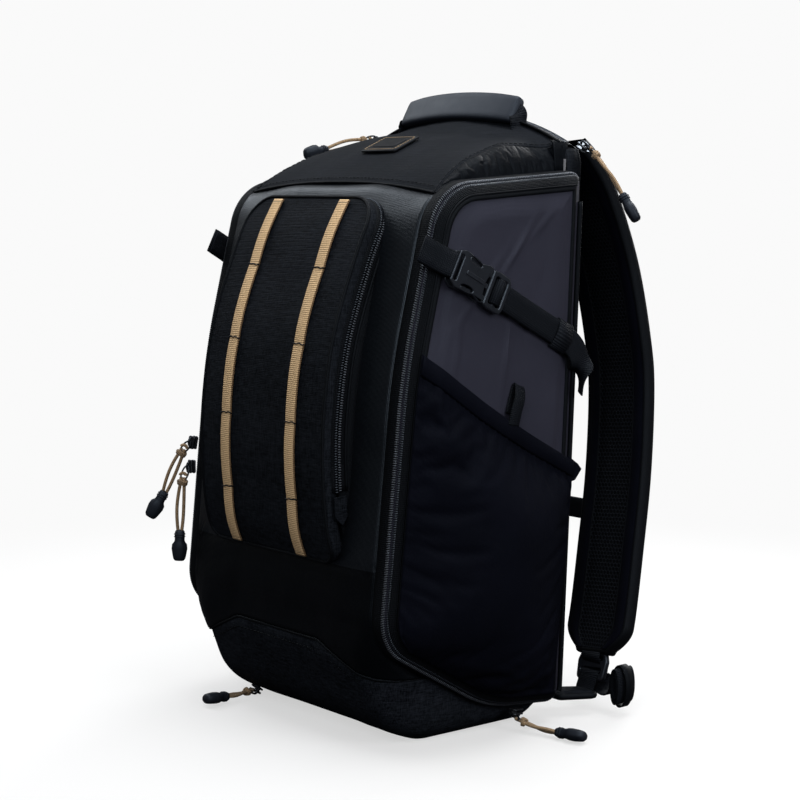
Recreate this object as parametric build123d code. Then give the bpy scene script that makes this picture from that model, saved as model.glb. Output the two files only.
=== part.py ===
"""Drone and camera backpack of about 16 litres, as an assembly of sewn panels, zipped doors and hardware.

Frame: millimetres, +Z up, +X to the right as the front is faced, +Y towards the wearer.
The origin is on the ground, under the middle of the flat base. The front pocket faces -Y.
"""

from build123d import *
import math
import os

os.makedirs("parts", exist_ok=True)

# ---- driving dimensions ----
DOOR_X = 122.0  # plane where a side door closes on the body
BODY_X = 117.6  # half width of the front, base and back panels
DOOR_T = 9.0  # padded door thickness
WALL = 7.0  # padded wall thickness
GAP = 0.5  # clearance at every zipped or sewn parting line
BASE_X = 114.0  # half width of the base pad
BASE_SEAM_Z = 92.0  # seam between the front panel and the base panel
LID_HINGE = (-42.0, 421.5)  # y, z of the seam that the lid swings about
LID_BACK_Y = 88.0  # rear edge of the lid
ARC_Z = 217.0  # height of the centre of the arched zip over the back
LID_ARC_R = 261.0  # radius of the lid's rear edge about that centre
BACK_ARC_R = 257.0  # radius of the back panel's crown about that centre
BACK_FOOT = (76.0, 16.0)  # y, z at the foot of the leaning back
BACK_HEAD = (95.0, 430.0)  # y, z at the head of the leaning back
BACK_PANEL_T = 14.0
POCKET_X = 80.0  # half width of the front pocket
POCKET_Z = (140.0, 408.0)
POCKET_ZIP_Z = 205.0  # height where the pocket's zip ends
POCKET_WALL = 3.0
PARTING = 12.0  # depth of the zipped flap behind the pocket's face
POCKET_GAP = 1.4  # clearance behind the flap's rim, so that it can swing about its lower seam
DAISY_X, DAISY_W = 41.4, 12.4  # place and width of the two rows of webbing on the pocket
WEB_T = 1.6  # webbing thickness
WEB_W = 20.0  # webbing width
MESH_ROWS = ((52, 168), (182, 290), (304, 392))  # heights of the mesh pads on the back
MESH_X = (14, 92)  # inner and outer edge of a mesh pad
DIVIDER_Z, DIVIDER_T = (160, 288), 7
PAD_X = 75.0  # middle of a shoulder pad at its root
PAD_W = 65.0
PAD_T = 14.0
PAD_SPLAY = 6.0  # degrees a shoulder pad leans outwards, going down
CORD_R = 2.0
# Lid sliders: name, y, radius about the arch's centre, angle from the top in degrees.
LID_SLIDERS = (("lid_right_slider", 100.0, 262.0, 28.0), ("lid_left_slider", 87.0, 265.0, -25.3))
END_RADII = (3.2, 5.0, 3.6)  # neck, belly and nose of the moulded end of a pull cord
BUCKLE_L, BUCKLE_W, BUCKLE_T = 30.0, 29.0, 8.0
TAB_Y = 14.0  # where the loop tab is sewn to the stretch pocket's hem
STRAP_ANGLE = -27.0  # slope of the compression strap in degrees
STRAP_START = (-66.0, 372.0)  # y, z where the compression strap leaves the front seam
SOCKET_S = 20.0  # distance of the buckle socket along the strap
PLUG_END = 45.0  # where the lower webbing starts under the plug
KEEPER_S = 146.0  # distance of the elastic keeper along the strap
HANDLE_Y = 80.0
HANDLE_LEAN = 30.0  # degrees the grip's broad face leans back
HANDLE_X = 66.0  # half length of the grip
STERNUM_Z = 150.0
STERNUM_Y = 167.6  # back of the sternum buckle
STERNUM_X = 105.2  # where the chest strap is held on the shoulder pads
EDGE_TOP, EDGE_FOOT = (-84.0, 285.0), (-105.0, 86.0)  # y, z of the straight front edge of a door

# Door outline seen from +X as y, z, corner radius.
SIDE_OUTLINE = [
    (*BACK_HEAD, 8),
    (-50, 420, 42),
    (*EDGE_TOP, 500),
    (*EDGE_FOOT, 36),
    (0, 24, 110),
    (*BACK_FOOT, 12),
]
# The same outline at the middle of the bag, where the front meets the lid at a crisper corner.
BODY_OUTLINE = [(y, z, 12 if z == 420 else r) for y, z, r in SIDE_OUTLINE]
# Section of the boot under the bag as y, z, corner radius.
BOOT_OUTLINE = [(-106, 84, 4), (-98, 40, 45), (-52, 0, 40), (54, 0, 12), (62, 20, 1), (0, 30, 60),
                (-70, 60, 20)]
# Face of the front pocket, y and z from its foot to its head.
POCKET_FACE = [(-110, 140), (-117.5, 168), (-121, 214), (-119, 258), (-109.5, 311), (-87, 372), (-68, 409)]
# Middle line of a shoulder pad before it is splayed, y and z from its root to its foot.
PAD_PATH = [(117, 449), (129, 438), (148, 409), (167, 352), (176, 290), (176, 250), (166, 184), (151, 122),
            (138, 73), (128, 45)]

parts = {}


def keep(name, *shapes):
    """Stores one node, made of one or more solids."""
    solids = [s for shape in shapes for s in shape.solids()]
    parts[name] = Compound(children=solids) if len(solids) > 1 else solids[0]
    return parts[name]


def mirrored(shape):
    return mirror(shape, about=Plane.YZ)


def keep_pair(name, *shapes):
    """Stores a right-hand node at +X and its mirror image at -X."""
    keep("right_" + name, *shapes)
    keep("left_" + name, *[mirrored(s) for s in shapes])


def inset(points, d):
    """Moves every edge of a closed polygon of (u, v, radius) inwards by d, with radii to suit."""
    n = len(points)
    area = sum(points[i][0] * points[(i + 1) % n][1] - points[(i + 1) % n][0] * points[i][1] for i in range(n))
    side = 1 if area > 0 else -1
    lines = []
    for i in range(n):
        (u0, v0, _), (u1, v1, _) = points[i], points[(i + 1) % n]
        length = math.hypot(u1 - u0, v1 - v0)
        nu, nv = -(v1 - v0) / length * side, (u1 - u0) / length * side
        lines.append((nu, nv, nu * u0 + nv * v0 + d))
    moved = []
    for i in range(n):
        (a, b, c), (e, f, g) = lines[i - 1], lines[i]
        det = a * f - b * e
        moved.append(((c * f - b * g) / det, (a * g - c * e) / det, max(points[i][2] - d, 0.5)))
    return moved


def face_of(points):
    """Face in the local XY plane from a closed polygon of (u, v, radius)."""
    wire = FilletPolyline(*[(u, v) for u, v, _ in points], radius=[r for _, _, r in points], close=True)
    return make_face(wire)


def across(face, x0, x1):
    """Extrudes a face drawn as (y, z) from plane x0 to plane x1."""
    return extrude(Plane.YZ.offset(x0) * face, amount=x1 - x0)


def along_y(face, y0, y1):
    """Extrudes a face drawn as (x, z) from plane y0 to plane y1."""
    return extrude(Plane.XZ.offset(-y0) * face, amount=-(y1 - y0))


def block(x0, x1, y0, y1, z0, z1):
    return Pos((x0 + x1) / 2, (y0 + y1) / 2, (z0 + z1) / 2) * Box(x1 - x0, y1 - y0, z1 - z0)


def polygon(*points):
    return make_face(Polyline(*points, close=True))


def side_face(d=0.0):
    return face_of(inset(SIDE_OUTLINE, d))


def back_y(z):
    """y of the leaning line that the door hinges lie on."""
    (y0, z0), (y1, z1) = BACK_FOOT, BACK_HEAD
    return y0 + (y1 - y0) * (z - z0) / (z1 - z0)


def back_slab(x, z0, z1, front, back):
    """Slab that leans with the back, between two distances from the hinge line."""
    foot, head = back_y(z0), back_y(z1)
    corners = [(foot + front, z0), (foot + back, z0), (head + back, z1), (head + front, z1)]
    return across(polygon(*corners), -x, x)


def arch(half, side_z, top_z, foot_z):
    """Face drawn as (x, z): straight sides and foot under a circular crown."""
    crown = ThreePointArc((-half, side_z), (0, top_z), (half, side_z))
    rest = Polyline((half, side_z), (half, foot_z), (-half, foot_z), (-half, side_z))
    return make_face([crown, rest])


def ribbon(points, half):
    """Face drawn as (y, z): a band of half thickness `half` along a smooth line."""
    line = Spline(*points)
    count = 24
    near, far = [], []
    for i in range(count + 1):
        p, t = line @ (i / count), line % (i / count)
        near.append((p.X + t.Y * half, p.Y - t.X * half))
        far.append((p.X - t.Y * half, p.Y + t.X * half))
    a, b = Spline(*near), Spline(*far)
    return make_face([a, Line(near[-1], far[-1]), b, Line(far[0], near[0])])


# ---- fixed body ----
def door_frames():
    ring = side_face(0) - side_face(11)
    keep_pair("door_frame", across(ring, BODY_X + 0.4, DOOR_X))


def body_band():
    outer = face_of(inset(BODY_OUTLINE, 0))
    return across(outer - face_of(inset(BODY_OUTLINE, WALL)), -BODY_X, BODY_X)


def front_panel():
    keep("front_panel", body_band() & block(-130, 130, -140, LID_HINGE[0] - GAP, BASE_SEAM_Z, 440))


def base():
    under = block(-130, 130, -140, BACK_FOOT[0] - 8, -5, BASE_SEAM_Z - GAP)
    keep("base_panel", body_band() & under)
    boot = across(face_of(BOOT_OUTLINE), -BASE_X, BASE_X)
    keep("base_boot", boot - across(side_face(-0.05), -BODY_X, BODY_X))


def back():
    slab = back_slab(BODY_X, 20, 500, -6, -6 + BACK_PANEL_T)
    side_z = ARC_Z + math.sqrt(BACK_ARC_R**2 - BODY_X**2)
    keep("back_panel", slab & along_y(arch(BODY_X, side_z, ARC_Z + BACK_ARC_R, 0), 50, 130))
    keep("frame_sheet", back_slab(104, 34, 412, -8.2, -6.6))
    pads = []
    for z_low, z_high in MESH_ROWS:
        pad = back_slab(MESH_X[1], z_low, z_high, 8.4, 19)
        channel = block(-MESH_X[0], MESH_X[0], 0, 140, 0, 500)
        pads.append(pad - channel)
    keep("back_pads", *pads)
    keep("shoulder_yoke", back_slab(112, 402, 440, 8.4, 17))


def inside():
    wall = back_slab(111, 42, 330, -33, -29)
    shelf = back_slab(111, 42, 47, -29, -8.8)
    cheeks = back_slab(111, 42, 330, -29, -8.8) - back_slab(108, 30, 340, -40, 0)
    keep("laptop_sleeve", wall + shelf + cheeks)
    inner = across(side_face(WALL + 0.6), -111, 111)
    shelves = []
    for z in DIVIDER_Z:
        shelves.append(inner & block(-111, 111, -130, back_y(z) - 34, z, z + DIVIDER_T))
    keep("padded_dividers", *shelves)


def strap_wings():
    wing = polygon((94, 85.5), (119, 85.5), (134, 110), (112, 110))
    keep_pair("strap_wing", extrude(Plane.XY.offset(13) * wing, amount=5))


# ---- side doors ----
def diagonal(y):
    """Height of the stretch pocket's mouth."""
    return 298 + (204 - 298) * (y + 83) / (87 + 83)


def strap_plane(height):
    """Plane whose local x runs down the compression strap; `height` is its distance from the door plane."""
    a = math.radians(STRAP_ANGLE)
    return Plane(origin=(DOOR_X + height, *STRAP_START), x_dir=(0, math.cos(a), math.sin(a)), z_dir=(1, 0, 0))


def socket(plane):
    """Female half of a side-release buckle, mouth along local +x. Its floor is at local z 0."""
    half = BUCKLE_W / 2
    waist = half - 5.5
    upper = [(0, half - 2, 1), (6, half, 3), (9, waist, 2), (19, waist, 2), (22, half, 2), (BUCKLE_L, half, 1)]
    lower = [(u, -v, r) for u, v, r in reversed(upper)]
    body = extrude(face_of(upper + lower), amount=BUCKLE_T)
    cavity = Pos(20.5, 0, BUCKLE_T / 2) * Box(31, BUCKLE_W + 4, BUCKLE_T - 3.4)
    slot = Pos(2.8, 0, BUCKLE_T / 2) * Box(2.6, WEB_W + 1.5, BUCKLE_T + 2)
    return plane * (body - cavity - slot)


def plug(plane):
    """Male half of a side-release buckle: two prongs, a guide and a ladder-lock tail."""
    half, mid = BUCKLE_W / 2, BUCKLE_T / 2
    thick = BUCKLE_T - 4.4
    prongs = [Pos(18.5, s * (half - 5.2), mid) * Box(22, 4.0, thick) for s in (-1, 1)]
    barbs = [Pos(12.5, s * (half - 3.4), mid) * Box(8, 4.4, thick) for s in (-1, 1)]
    guide = Pos(20.5, 0, mid) * Box(18, 4.5, thick)
    frame = Pos(38.6, 0, mid) * Box(16, BUCKLE_W, BUCKLE_T - 0.6)
    frame -= Pos(36.5, 0, mid) * Box(3.2, WEB_W + 2, BUCKLE_T + 2)
    frame -= Pos(42.8, 0, mid) * Box(3.2, WEB_W + 2, BUCKLE_T + 2)
    neck = Pos(30.4, 0, mid) * Box(3, BUCKLE_W - 6, thick)
    out = frame + neck + guide
    for piece in prongs + barbs:
        out = out + piece
    return plane * out


def right_door():
    plate = across(side_face(1.0), DOOR_X + 0.4, DOOR_X + DOOR_T)
    plate = plate & block(100, 150, -150, 200, -10, 500)
    keep_pair("door", plate)
    ring = across(side_face(1.2) - side_face(9.5), DOOR_X + DOOR_T + 0.1, DOOR_X + DOOR_T + 2.6)
    behind = [(back_y(0) - 12, 0), (back_y(0) + 40, 0), (back_y(450) + 40, 450), (back_y(450) - 12, 450)]
    hinge_side = across(polygon(*behind), 90, 160)
    keep_pair("door_zip", ring - hinge_side)

    x0 = DOOR_X + DOOR_T + 0.1
    region = side_face(10.5)
    mouth = polygon((-140, diagonal(-140)), (140, diagonal(140)), (140, 600), (-140, 600))
    outer = across(region - mouth, x0, x0 + 12)
    inner = across(side_face(12.5) - mouth, x0 - 1, x0 + 10)
    tab = Plane(origin=(x0 + 12.2, TAB_Y, diagonal(TAB_Y) - 12), x_dir=(0, 0.92, 0.39), z_dir=(1, 0, 0))
    keep_pair("stretch_pocket", outer - inner, tab * (Pos(0, 14, 1.4) * Box(11, 34, 2.8)))

    plane = strap_plane(DOOR_T + 3.4)
    keep_pair("buckle_socket", socket(plane * Pos(SOCKET_S, 0, 0)))
    keep_pair("buckle_plug", plug(plane * Pos(SOCKET_S, 0, 0)))
    loop = Pos(SOCKET_S / 2 - 0.3, 0, BUCKLE_T / 2) * Box(SOCKET_S - 1.2, WEB_W, WEB_T * 2)
    tail_start, seam, tail_end = SOCKET_S + 68, 164.0, 188.0
    lower = Pos((PLUG_END + seam) / 2, 0, -0.7) * Box(seam - PLUG_END, WEB_W, 1.2)
    tail = Pos((tail_start + tail_end) / 2, 0, 9.2) * Box(tail_end - tail_start, WEB_W, WEB_T)
    keep_pair("side_strap", plane * loop, plane * lower, plane * tail)
    ring = Box(12, WEB_W + 5, 13.8) - Box(14, WEB_W + 1, 12.2)
    keep_pair("strap_keeper", plane * Pos(KEEPER_S, 0, 4.6) * ring)


# ---- front pocket ----
def pocket_region(back_off, front_off):
    """Face drawn as (y, z) between two copies of the pocket's face curve, moved back by the given amounts."""
    near = [(y + front_off, z) for y, z in POCKET_FACE]
    far = [(y + back_off, z) for y, z in POCKET_FACE]
    a, b = Spline(*near), Spline(*far)
    return make_face([a, Line(near[-1], far[-1]), b, Line(far[0], near[0])])


def pocket_outline(d=0.0):
    z0, z1 = POCKET_Z
    return face_of(inset([(-POCKET_X, z0, 14), (POCKET_X, z0, 14), (POCKET_X, z1, 27), (-POCKET_X, z1, 27)], d))


def front_pocket():
    whole = along_y(pocket_outline(), -150, -20)
    hollow = along_y(pocket_outline(POCKET_WALL), -150, -20)
    behind = across(face_of(inset(BODY_OUTLINE, -0.3)), -130, 130)
    flap = whole & across(pocket_region(PARTING, 0), -100, 100)
    flap -= hollow & across(pocket_region(PARTING + 5, 3.4), -100, 100)
    keep("pocket_flap", flap - behind)

    wall = whole & across(pocket_region(80, PARTING + POCKET_GAP), -100, 100)
    wall -= hollow
    keep("pocket_gusset", wall - behind)

    chains = []
    for x in (-DAISY_X, DAISY_X):
        x0, x1, z0, z1 = x - DAISY_W / 2, x + DAISY_W / 2, POCKET_Z[0] + 4, POCKET_Z[1] - 3
        strip = along_y(polygon((x0, z0), (x1, z0), (x1, z1), (x0, z1)), -160, -20)
        chains.append(strip & across(pocket_region(-0.2, -0.2 - WEB_T), -100, 100))
    keep("daisy_chains", *chains)

    rim = along_y(pocket_outline(-2.2) - pocket_outline(-0.3), -150, -20)
    rim = rim & block(-100, 100, -150, -20, POCKET_ZIP_Z, 430)
    keep("pocket_zip", rim & across(pocket_region(PARTING + 6, PARTING + POCKET_GAP), -100, 100) - behind)


# ---- lid and handle ----
def door_top(y):
    """Height of a door's upper edge."""
    return 420 + 10 * (y + 50) / 145


# Stations of the lid: y, half width and height of the shoulder, height of the crown.
LID_STATIONS = [
    (LID_HINGE[0], 121.0, 424.5, 425.5),
    (22.0, 118.0, 444.0, 456.0),
    (74.0, 115.0, 450.0, 466.0),
    (LID_BACK_Y, 114.0, ARC_Z + math.sqrt(LID_ARC_R**2 - 114**2), ARC_Z + LID_ARC_R),
]


def lid_section(station, d, drop):
    """Section of the lid at one station, shrunk by d, with its foot lowered by drop."""
    y, half, side_z, top_z = station
    foot = door_top(y) + GAP - drop
    corners = [(DOOR_X - d, foot), (half - d, side_z - d)]
    crown = ThreePointArc((half - d, side_z - d), (0, top_z - d), (d - half, side_z - d))
    rest = Polyline((d - half, side_z - d), (d - DOOR_X, foot), *corners)
    return Plane.XZ.offset(-y) * make_face([crown, rest])


def lid_blank(stations, d, drop):
    faces = [lid_section(s, d, drop) for s in stations]
    solid = loft(faces[:2], ruled=True)
    for near, far in zip(faces[1:], faces[2:]):
        solid = solid + loft([near, far], ruled=True)
    return solid


def lid():
    y1, half1, side1, top1 = LID_STATIONS[1]
    inner_front = (-20.0, 119.0, 430.0, 434.0)
    rear = (LID_BACK_Y + 0.1, *LID_STATIONS[3][1:])
    hollow = lid_blank([inner_front, *LID_STATIONS[1:3], rear], 5, 20)
    keep("lid", lid_blank(LID_STATIONS, 0, 0) - hollow)
    coil = Cylinder(LID_ARC_R + 0.5, 1.6) - Cylinder(LID_ARC_R - 4, 4)
    coil = Pos(0, LID_BACK_Y + 1.2, ARC_Z) * Rot(90, 0, 0) * coil
    keep("lid_zip", coil & block(-113, 113, 80, 95, 440, 500))
    slope = math.degrees(math.atan2(top1 - LID_STATIONS[0][3], y1 - LID_HINGE[0]))
    keep("lid_patch", Pos(0, 9, 451.2) * Rot(slope, 0, 0) * Box(40, 28, 1.6))


def handle():
    ends_z, crown_z, half = 477.0, 483.0, 5.0
    upper = ThreePointArc((-HANDLE_X, ends_z + half), (0, crown_z + half), (HANDLE_X, ends_z + half))
    lower = ThreePointArc((HANDLE_X, ends_z - half), (0, crown_z - half), (-HANDLE_X, ends_z - half))
    sides = [Line(upper @ 1, lower @ 0), Line(lower @ 1, upper @ 0)]
    grip = along_y(make_face([upper, sides[0], lower, sides[1]]), -10, 10)
    grip = Pos(0, HANDLE_Y, 0) * Pos(0, 0, crown_z) * Rot(90 - HANDLE_LEAN, 0, 0) * Pos(0, 0, -crown_z) * grip
    keep("handle_grip", grip)
    ends = []
    for side in (-1, 1):
        strip = [(66.4, 478), (66.4, 474.5), (71, 466.5), (77, 464.5), (78, 466.2), (72.5, 468.5)]
        ends.append(along_y(polygon(*[(side * x, z) for x, z in strip]), HANDLE_Y - 12, HANDLE_Y + 1))
    keep("handle_webbing", *ends)


# ---- shoulder straps ----
def splayed(shape, side=1):
    """Leans a piece outwards about a shoulder pad's root."""
    pivot = (PAD_X, 0, 445)
    return Pos(*pivot) * Rot(0, -PAD_SPLAY, 0) * Pos(-pivot[0], -pivot[1], -pivot[2]) * shape


def pad_point(t):
    line = Spline(*PAD_PATH)
    p, d = line @ t, line % t
    return (p.X, p.Y), (d.X, d.Y)


def pad_frame(t, out):
    """Splayed plane on a pad's middle line: local x across the pad, y down along it, moved out by `out`."""
    (y, z), (dy, dz) = pad_point(t)
    local = Plane(origin=(PAD_X, y - dz * out, z + dy * out), x_dir=(1, 0, 0), z_dir=(0, -dz, dy))
    pivot = Pos(PAD_X, 0, 445)
    return pivot * Rot(0, -PAD_SPLAY, 0) * Pos(-PAD_X, 0, -445) * local.location


def shoulder_pads():
    pad = across(ribbon(PAD_PATH, PAD_T / 2), PAD_X - PAD_W / 2, PAD_X + PAD_W / 2)
    keep_pair("shoulder_pad", splayed(pad))
    frame = Pos(0, 13.5, 0) * Box(30, 24, 5)
    for cut in (8, 20):
        frame -= Pos(0, cut, 0) * Box(22, 5, 8)
    keep_pair("ladder_lock", pad_frame(1, 0) * frame)
    (x0, y0, z0) = (119.0, 112.0, 14.8)
    web = polygon((y0, z0), (y0 + 6.5, z0 + 2.4), (y0 + 6.5, z0 + 4), (y0, z0 + 1.6))
    roll = Pos(149.5, 124, 20) * Rot(90, 0, 0) * Cylinder(8, 18)
    bridge = block(139, 143.5, 118, 126, 16, 24)
    keep_pair("lower_webbing", across(web, x0 - 10, x0 + 10), roll + bridge & block(138, 160, 100, 140, 4, 40))


def sternum_strap():
    for side, x in (("right", STERNUM_X), ("left", -STERNUM_X)):
        block_face = Pos(x, 171.9, STERNUM_Z) * Box(26, 4.4, 12)
        keep(side + "_sternum_slider", block_face)
    right = block(46, 92, STERNUM_Y + 1.9, STERNUM_Y + 3.5, STERNUM_Z - 10, STERNUM_Z + 10)
    left = block(-92, -23, STERNUM_Y + 1.9, STERNUM_Y + 3.5, STERNUM_Z - 10, STERNUM_Z + 10)
    keep("right_sternum_webbing", right)
    keep("left_sternum_webbing", left)
    plane = Plane(origin=(-22, STERNUM_Y, STERNUM_Z), x_dir=(1, 0, 0), z_dir=(0, 1, 0))
    keep("sternum_socket", socket(plane))
    keep("sternum_plug", plug(plane))


# ---- zip sliders and their pulls ----
def slider(name, centre, along, outward):
    """Zip slider: a saddle with a bridge, long axis `along`, its top facing `outward`."""
    local = Plane(origin=centre, x_dir=along, z_dir=outward)
    saddle = Box(10, 6.6, 3.4) - Box(12, 2.2, 1.2)
    bridge = Pos(0, 0, 2.9) * Box(7, 2, 2.5)
    keep(name, local * (saddle + bridge))


def pull(name, *path):
    """Cord from a slider to its moulded end, along path points; the last one is the end's far tip."""
    line = Spline(*path[:-1])
    cord = sweep(Plane(origin=line @ 0, z_dir=line % 0) * Circle(CORD_R), path=line)
    start, tip = Vector(*path[-2]), Vector(*path[-1])
    run = (tip - start).normalized()
    end = Plane(origin=start + run * 0.3, z_dir=run)
    length = (tip - start).length
    neck, belly = end * Circle(END_RADII[0]), end.offset(length * 0.6) * Circle(END_RADII[1])
    nose = end.offset(length - 0.3) * Circle(END_RADII[2])
    keep(name, cord, loft([neck, belly, nose]))


def edge_point(z, out):
    """y and z of a point on the straight front edge of a door, moved forward by out."""
    (y0, z0), (y1, z1) = EDGE_TOP, EDGE_FOOT
    t = (z - z0) / (z1 - z0)
    return y0 + (y1 - y0) * t - out, z


def lid_sliders():
    for name, y, radius, angle in LID_SLIDERS:
        a = math.radians(angle)
        radial = (math.sin(a), 0, math.cos(a))
        centre = (radius * radial[0], y, ARC_Z + radius * radial[2])
        slider(name, centre, (math.cos(a), 0, -math.sin(a)), radial)
    pull("lid_right_pull", (131, 103, 446), (144, 109, 428), (154, 112, 413), (166, 116, 393))
    pull("lid_left_pull", (-118, 81, 458), (-125, 63, 455), (-130, 47, 450), (-135, 26, 446))


def door_sliders():
    for name, z in (("left_door_upper_slider", 210.0), ("left_door_lower_slider", 190.0)):
        y, z = edge_point(z, 4.6)
        slider(name, (-126.8, y, z), (0, 0.105, 0.9945), (0, -0.9945, 0.105))
    pull("left_door_upper_pull", (-129, -105, 205), (-136, -110, 188), (-142, -115, 169), (-150, -125, 148))
    pull("left_door_lower_pull", (-127, -107, 182), (-128, -109, 160), (-128, -110, 138), (-128, -111, 113))
    slider("right_door_slider", (126.5, 30, 15.4), (0, -0.9945, 0.1045), (0, -0.1045, -0.9945))
    pull("right_door_pull", (131, 30, 9), (146, 36, 5), (161, 40, 4.5), (186, 45, 6))
    slider("base_slider", (-85, -65.4, 5.8), (1, 0, 0), (0, -0.656, -0.755))
    pull("base_pull", (-86, -72, 5), (-85, -84, 4.5), (-84, -95, 5), (-82, -118, 7))


MAKERS = (door_frames, front_panel, base, back, inside, strap_wings, right_door, front_pocket, lid, handle,
          shoulder_pads, sternum_strap, lid_sliders, door_sliders)
for make in MAKERS:
    make()

for name, shape in parts.items():
    export_step(shape, f"parts/{name}.step")
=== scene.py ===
"""Looks of the drone and camera backpack: cloth, webbing, zips and moulded parts around the fixed CAD frame.

Lengths are written in millimetres in the row frame and turned into metres by the mesh builders.
+X is the bag's right-hand side as the front is faced, -Y its front, +Z up.
"""

import math
import random

import bmesh
import bpy
import numpy as np
from mathutils import Matrix, Vector, noise

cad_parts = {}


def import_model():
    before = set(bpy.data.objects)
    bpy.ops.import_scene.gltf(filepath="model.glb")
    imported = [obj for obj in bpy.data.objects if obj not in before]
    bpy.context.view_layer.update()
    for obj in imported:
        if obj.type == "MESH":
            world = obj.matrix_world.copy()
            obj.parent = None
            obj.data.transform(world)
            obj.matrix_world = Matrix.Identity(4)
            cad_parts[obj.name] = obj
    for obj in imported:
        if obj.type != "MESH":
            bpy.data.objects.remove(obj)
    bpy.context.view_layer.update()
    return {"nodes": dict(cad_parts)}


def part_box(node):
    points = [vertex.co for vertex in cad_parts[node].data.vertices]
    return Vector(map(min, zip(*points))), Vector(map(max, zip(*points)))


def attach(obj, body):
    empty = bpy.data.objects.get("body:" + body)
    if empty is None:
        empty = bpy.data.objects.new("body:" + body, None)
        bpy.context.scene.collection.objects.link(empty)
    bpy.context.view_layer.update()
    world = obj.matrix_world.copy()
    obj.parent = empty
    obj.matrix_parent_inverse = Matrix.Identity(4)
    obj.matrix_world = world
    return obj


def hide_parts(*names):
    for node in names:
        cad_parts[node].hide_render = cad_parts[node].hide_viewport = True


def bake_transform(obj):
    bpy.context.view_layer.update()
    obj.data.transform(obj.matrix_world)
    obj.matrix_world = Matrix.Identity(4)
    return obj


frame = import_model()

MM = 0.001
SIDES = (("right", 1), ("left", -1))


# ------------------------------------------------------------------ small maths
def cad(node):
    """Lowest and highest corner of a CAD node, in millimetres."""
    lo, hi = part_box(node)
    return np.array(lo) / MM, np.array(hi) / MM


def smooth(t):
    t = np.clip(t, 0.0, 1.0)
    return t * t * (3 - 2 * t)


def curve_through(points, count):
    """Catmull-Rom curve through points, sampled evenly by length."""
    p = np.array(points, float)
    ext = np.vstack([2 * p[0] - p[1], p, 2 * p[-1] - p[-2]])
    fine = []
    for i in range(1, len(ext) - 2):
        a, b, c, d = ext[i - 1], ext[i], ext[i + 1], ext[i + 2]
        for t in np.linspace(0, 1, 24, endpoint=False):
            fine.append(0.5 * (2 * b + (c - a) * t + (2 * a - 5 * b + 4 * c - d) * t**2 + (3 * b - a - 3 * c + d) * t**3))
    fine.append(ext[-2])
    return resample(np.array(fine), count)


def resample(p, count, closed=False):
    """Points spaced evenly along a polyline."""
    p = np.array(p, float)
    if closed:
        p = np.vstack([p, p[:1]])
    step = np.linalg.norm(np.diff(p, axis=0), axis=1)
    s = np.concatenate([[0], np.cumsum(step)])
    want = np.linspace(0, s[-1], count + 1 if closed else count)
    out = np.column_stack([np.interp(want, s, p[:, k]) for k in range(p.shape[1])])
    return out[:-1] if closed else out


def inset(points, d):
    """Moves every edge of a closed polygon of (u, v, radius) inwards by d."""
    n = len(points)
    area = sum(points[i][0] * points[(i + 1) % n][1] - points[(i + 1) % n][0] * points[i][1] for i in range(n))
    side = 1 if area > 0 else -1
    lines = []
    for i in range(n):
        (u0, v0, _), (u1, v1, _) = points[i], points[(i + 1) % n]
        length = math.hypot(u1 - u0, v1 - v0)
        nu, nv = -(v1 - v0) / length * side, (u1 - u0) / length * side
        lines.append((nu, nv, nu * u0 + nv * v0 + d))
    moved = []
    for i in range(n):
        (a, b, c), (e, f, g) = lines[i - 1], lines[i]
        det = a * f - b * e
        moved.append(((c * f - b * g) / det, (a * g - c * e) / det, max(points[i][2] - d, 0.5)))
    return moved


def rounded(points, arc_steps=10):
    """Outline of a closed polygon of (u, v, radius) with its corners rounded."""
    out, n = [], len(points)
    for i in range(n):
        p = np.array(points[i][:2], float)
        a = np.array(points[i - 1][:2], float) - p
        b = np.array(points[(i + 1) % n][:2], float) - p
        la, lb = np.linalg.norm(a), np.linalg.norm(b)
        a, b = a / la, b / lb
        half = math.acos(np.clip(a @ b, -1, 1)) / 2
        reach = min(points[i][2] / math.tan(half), la * 0.49, lb * 0.49)
        radius = reach * math.tan(half)
        start, end = p + a * reach, p + b * reach
        centre = p + (a + b) / np.linalg.norm(a + b) * radius / math.sin(half)
        a0 = math.atan2(*(start - centre)[::-1])
        a1 = math.atan2(*(end - centre)[::-1])
        turn = (a1 - a0 + math.pi) % (2 * math.pi) - math.pi
        for k in range(arc_steps + 1):
            t = a0 + turn * k / arc_steps
            out.append(centre + radius * np.array([math.cos(t), math.sin(t)]))
    return np.array(out)


def lumps(p, size, seed):
    """Soft noise in -1..1 at a point in millimetres, with lumps about `size` across."""
    return noise.noise(Vector(p) / size + Vector((seed * 7.3, seed * 3.1, seed * 5.7)))


# ------------------------------------------------------------------ mesh builders
def add_mesh(name, verts, faces, material, uvs=None):
    """Object from vertices in millimetres. uvs, if given, holds one (u, v) in millimetres per vertex."""
    mesh = bpy.data.meshes.new(name)
    mesh.from_pydata([tuple(float(c) * MM for c in v) for v in verts], [], [tuple(int(i) for i in f) for f in faces])
    if uvs is not None:
        layer = mesh.uv_layers.new(name="UVMap")
        for loop in mesh.loops:
            layer.data[loop.index].uv = [float(c) * MM for c in uvs[loop.vertex_index]]
    mesh.materials.append(material)
    for poly in mesh.polygons:
        poly.use_smooth = True
    mesh.validate()
    obj = bpy.data.objects.new(name, mesh)
    bpy.context.scene.collection.objects.link(obj)
    return obj


def grid_faces(rows, cols, close_rows=False, close_cols=False, first=0):
    faces = []
    for i in range(rows if close_rows else rows - 1):
        for j in range(cols if close_cols else cols - 1):
            i2, j2 = (i + 1) % rows, (j + 1) % cols
            faces.append((first + i * cols + j, first + i * cols + j2, first + i2 * cols + j2, first + i2 * cols + j))
    return faces


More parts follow.
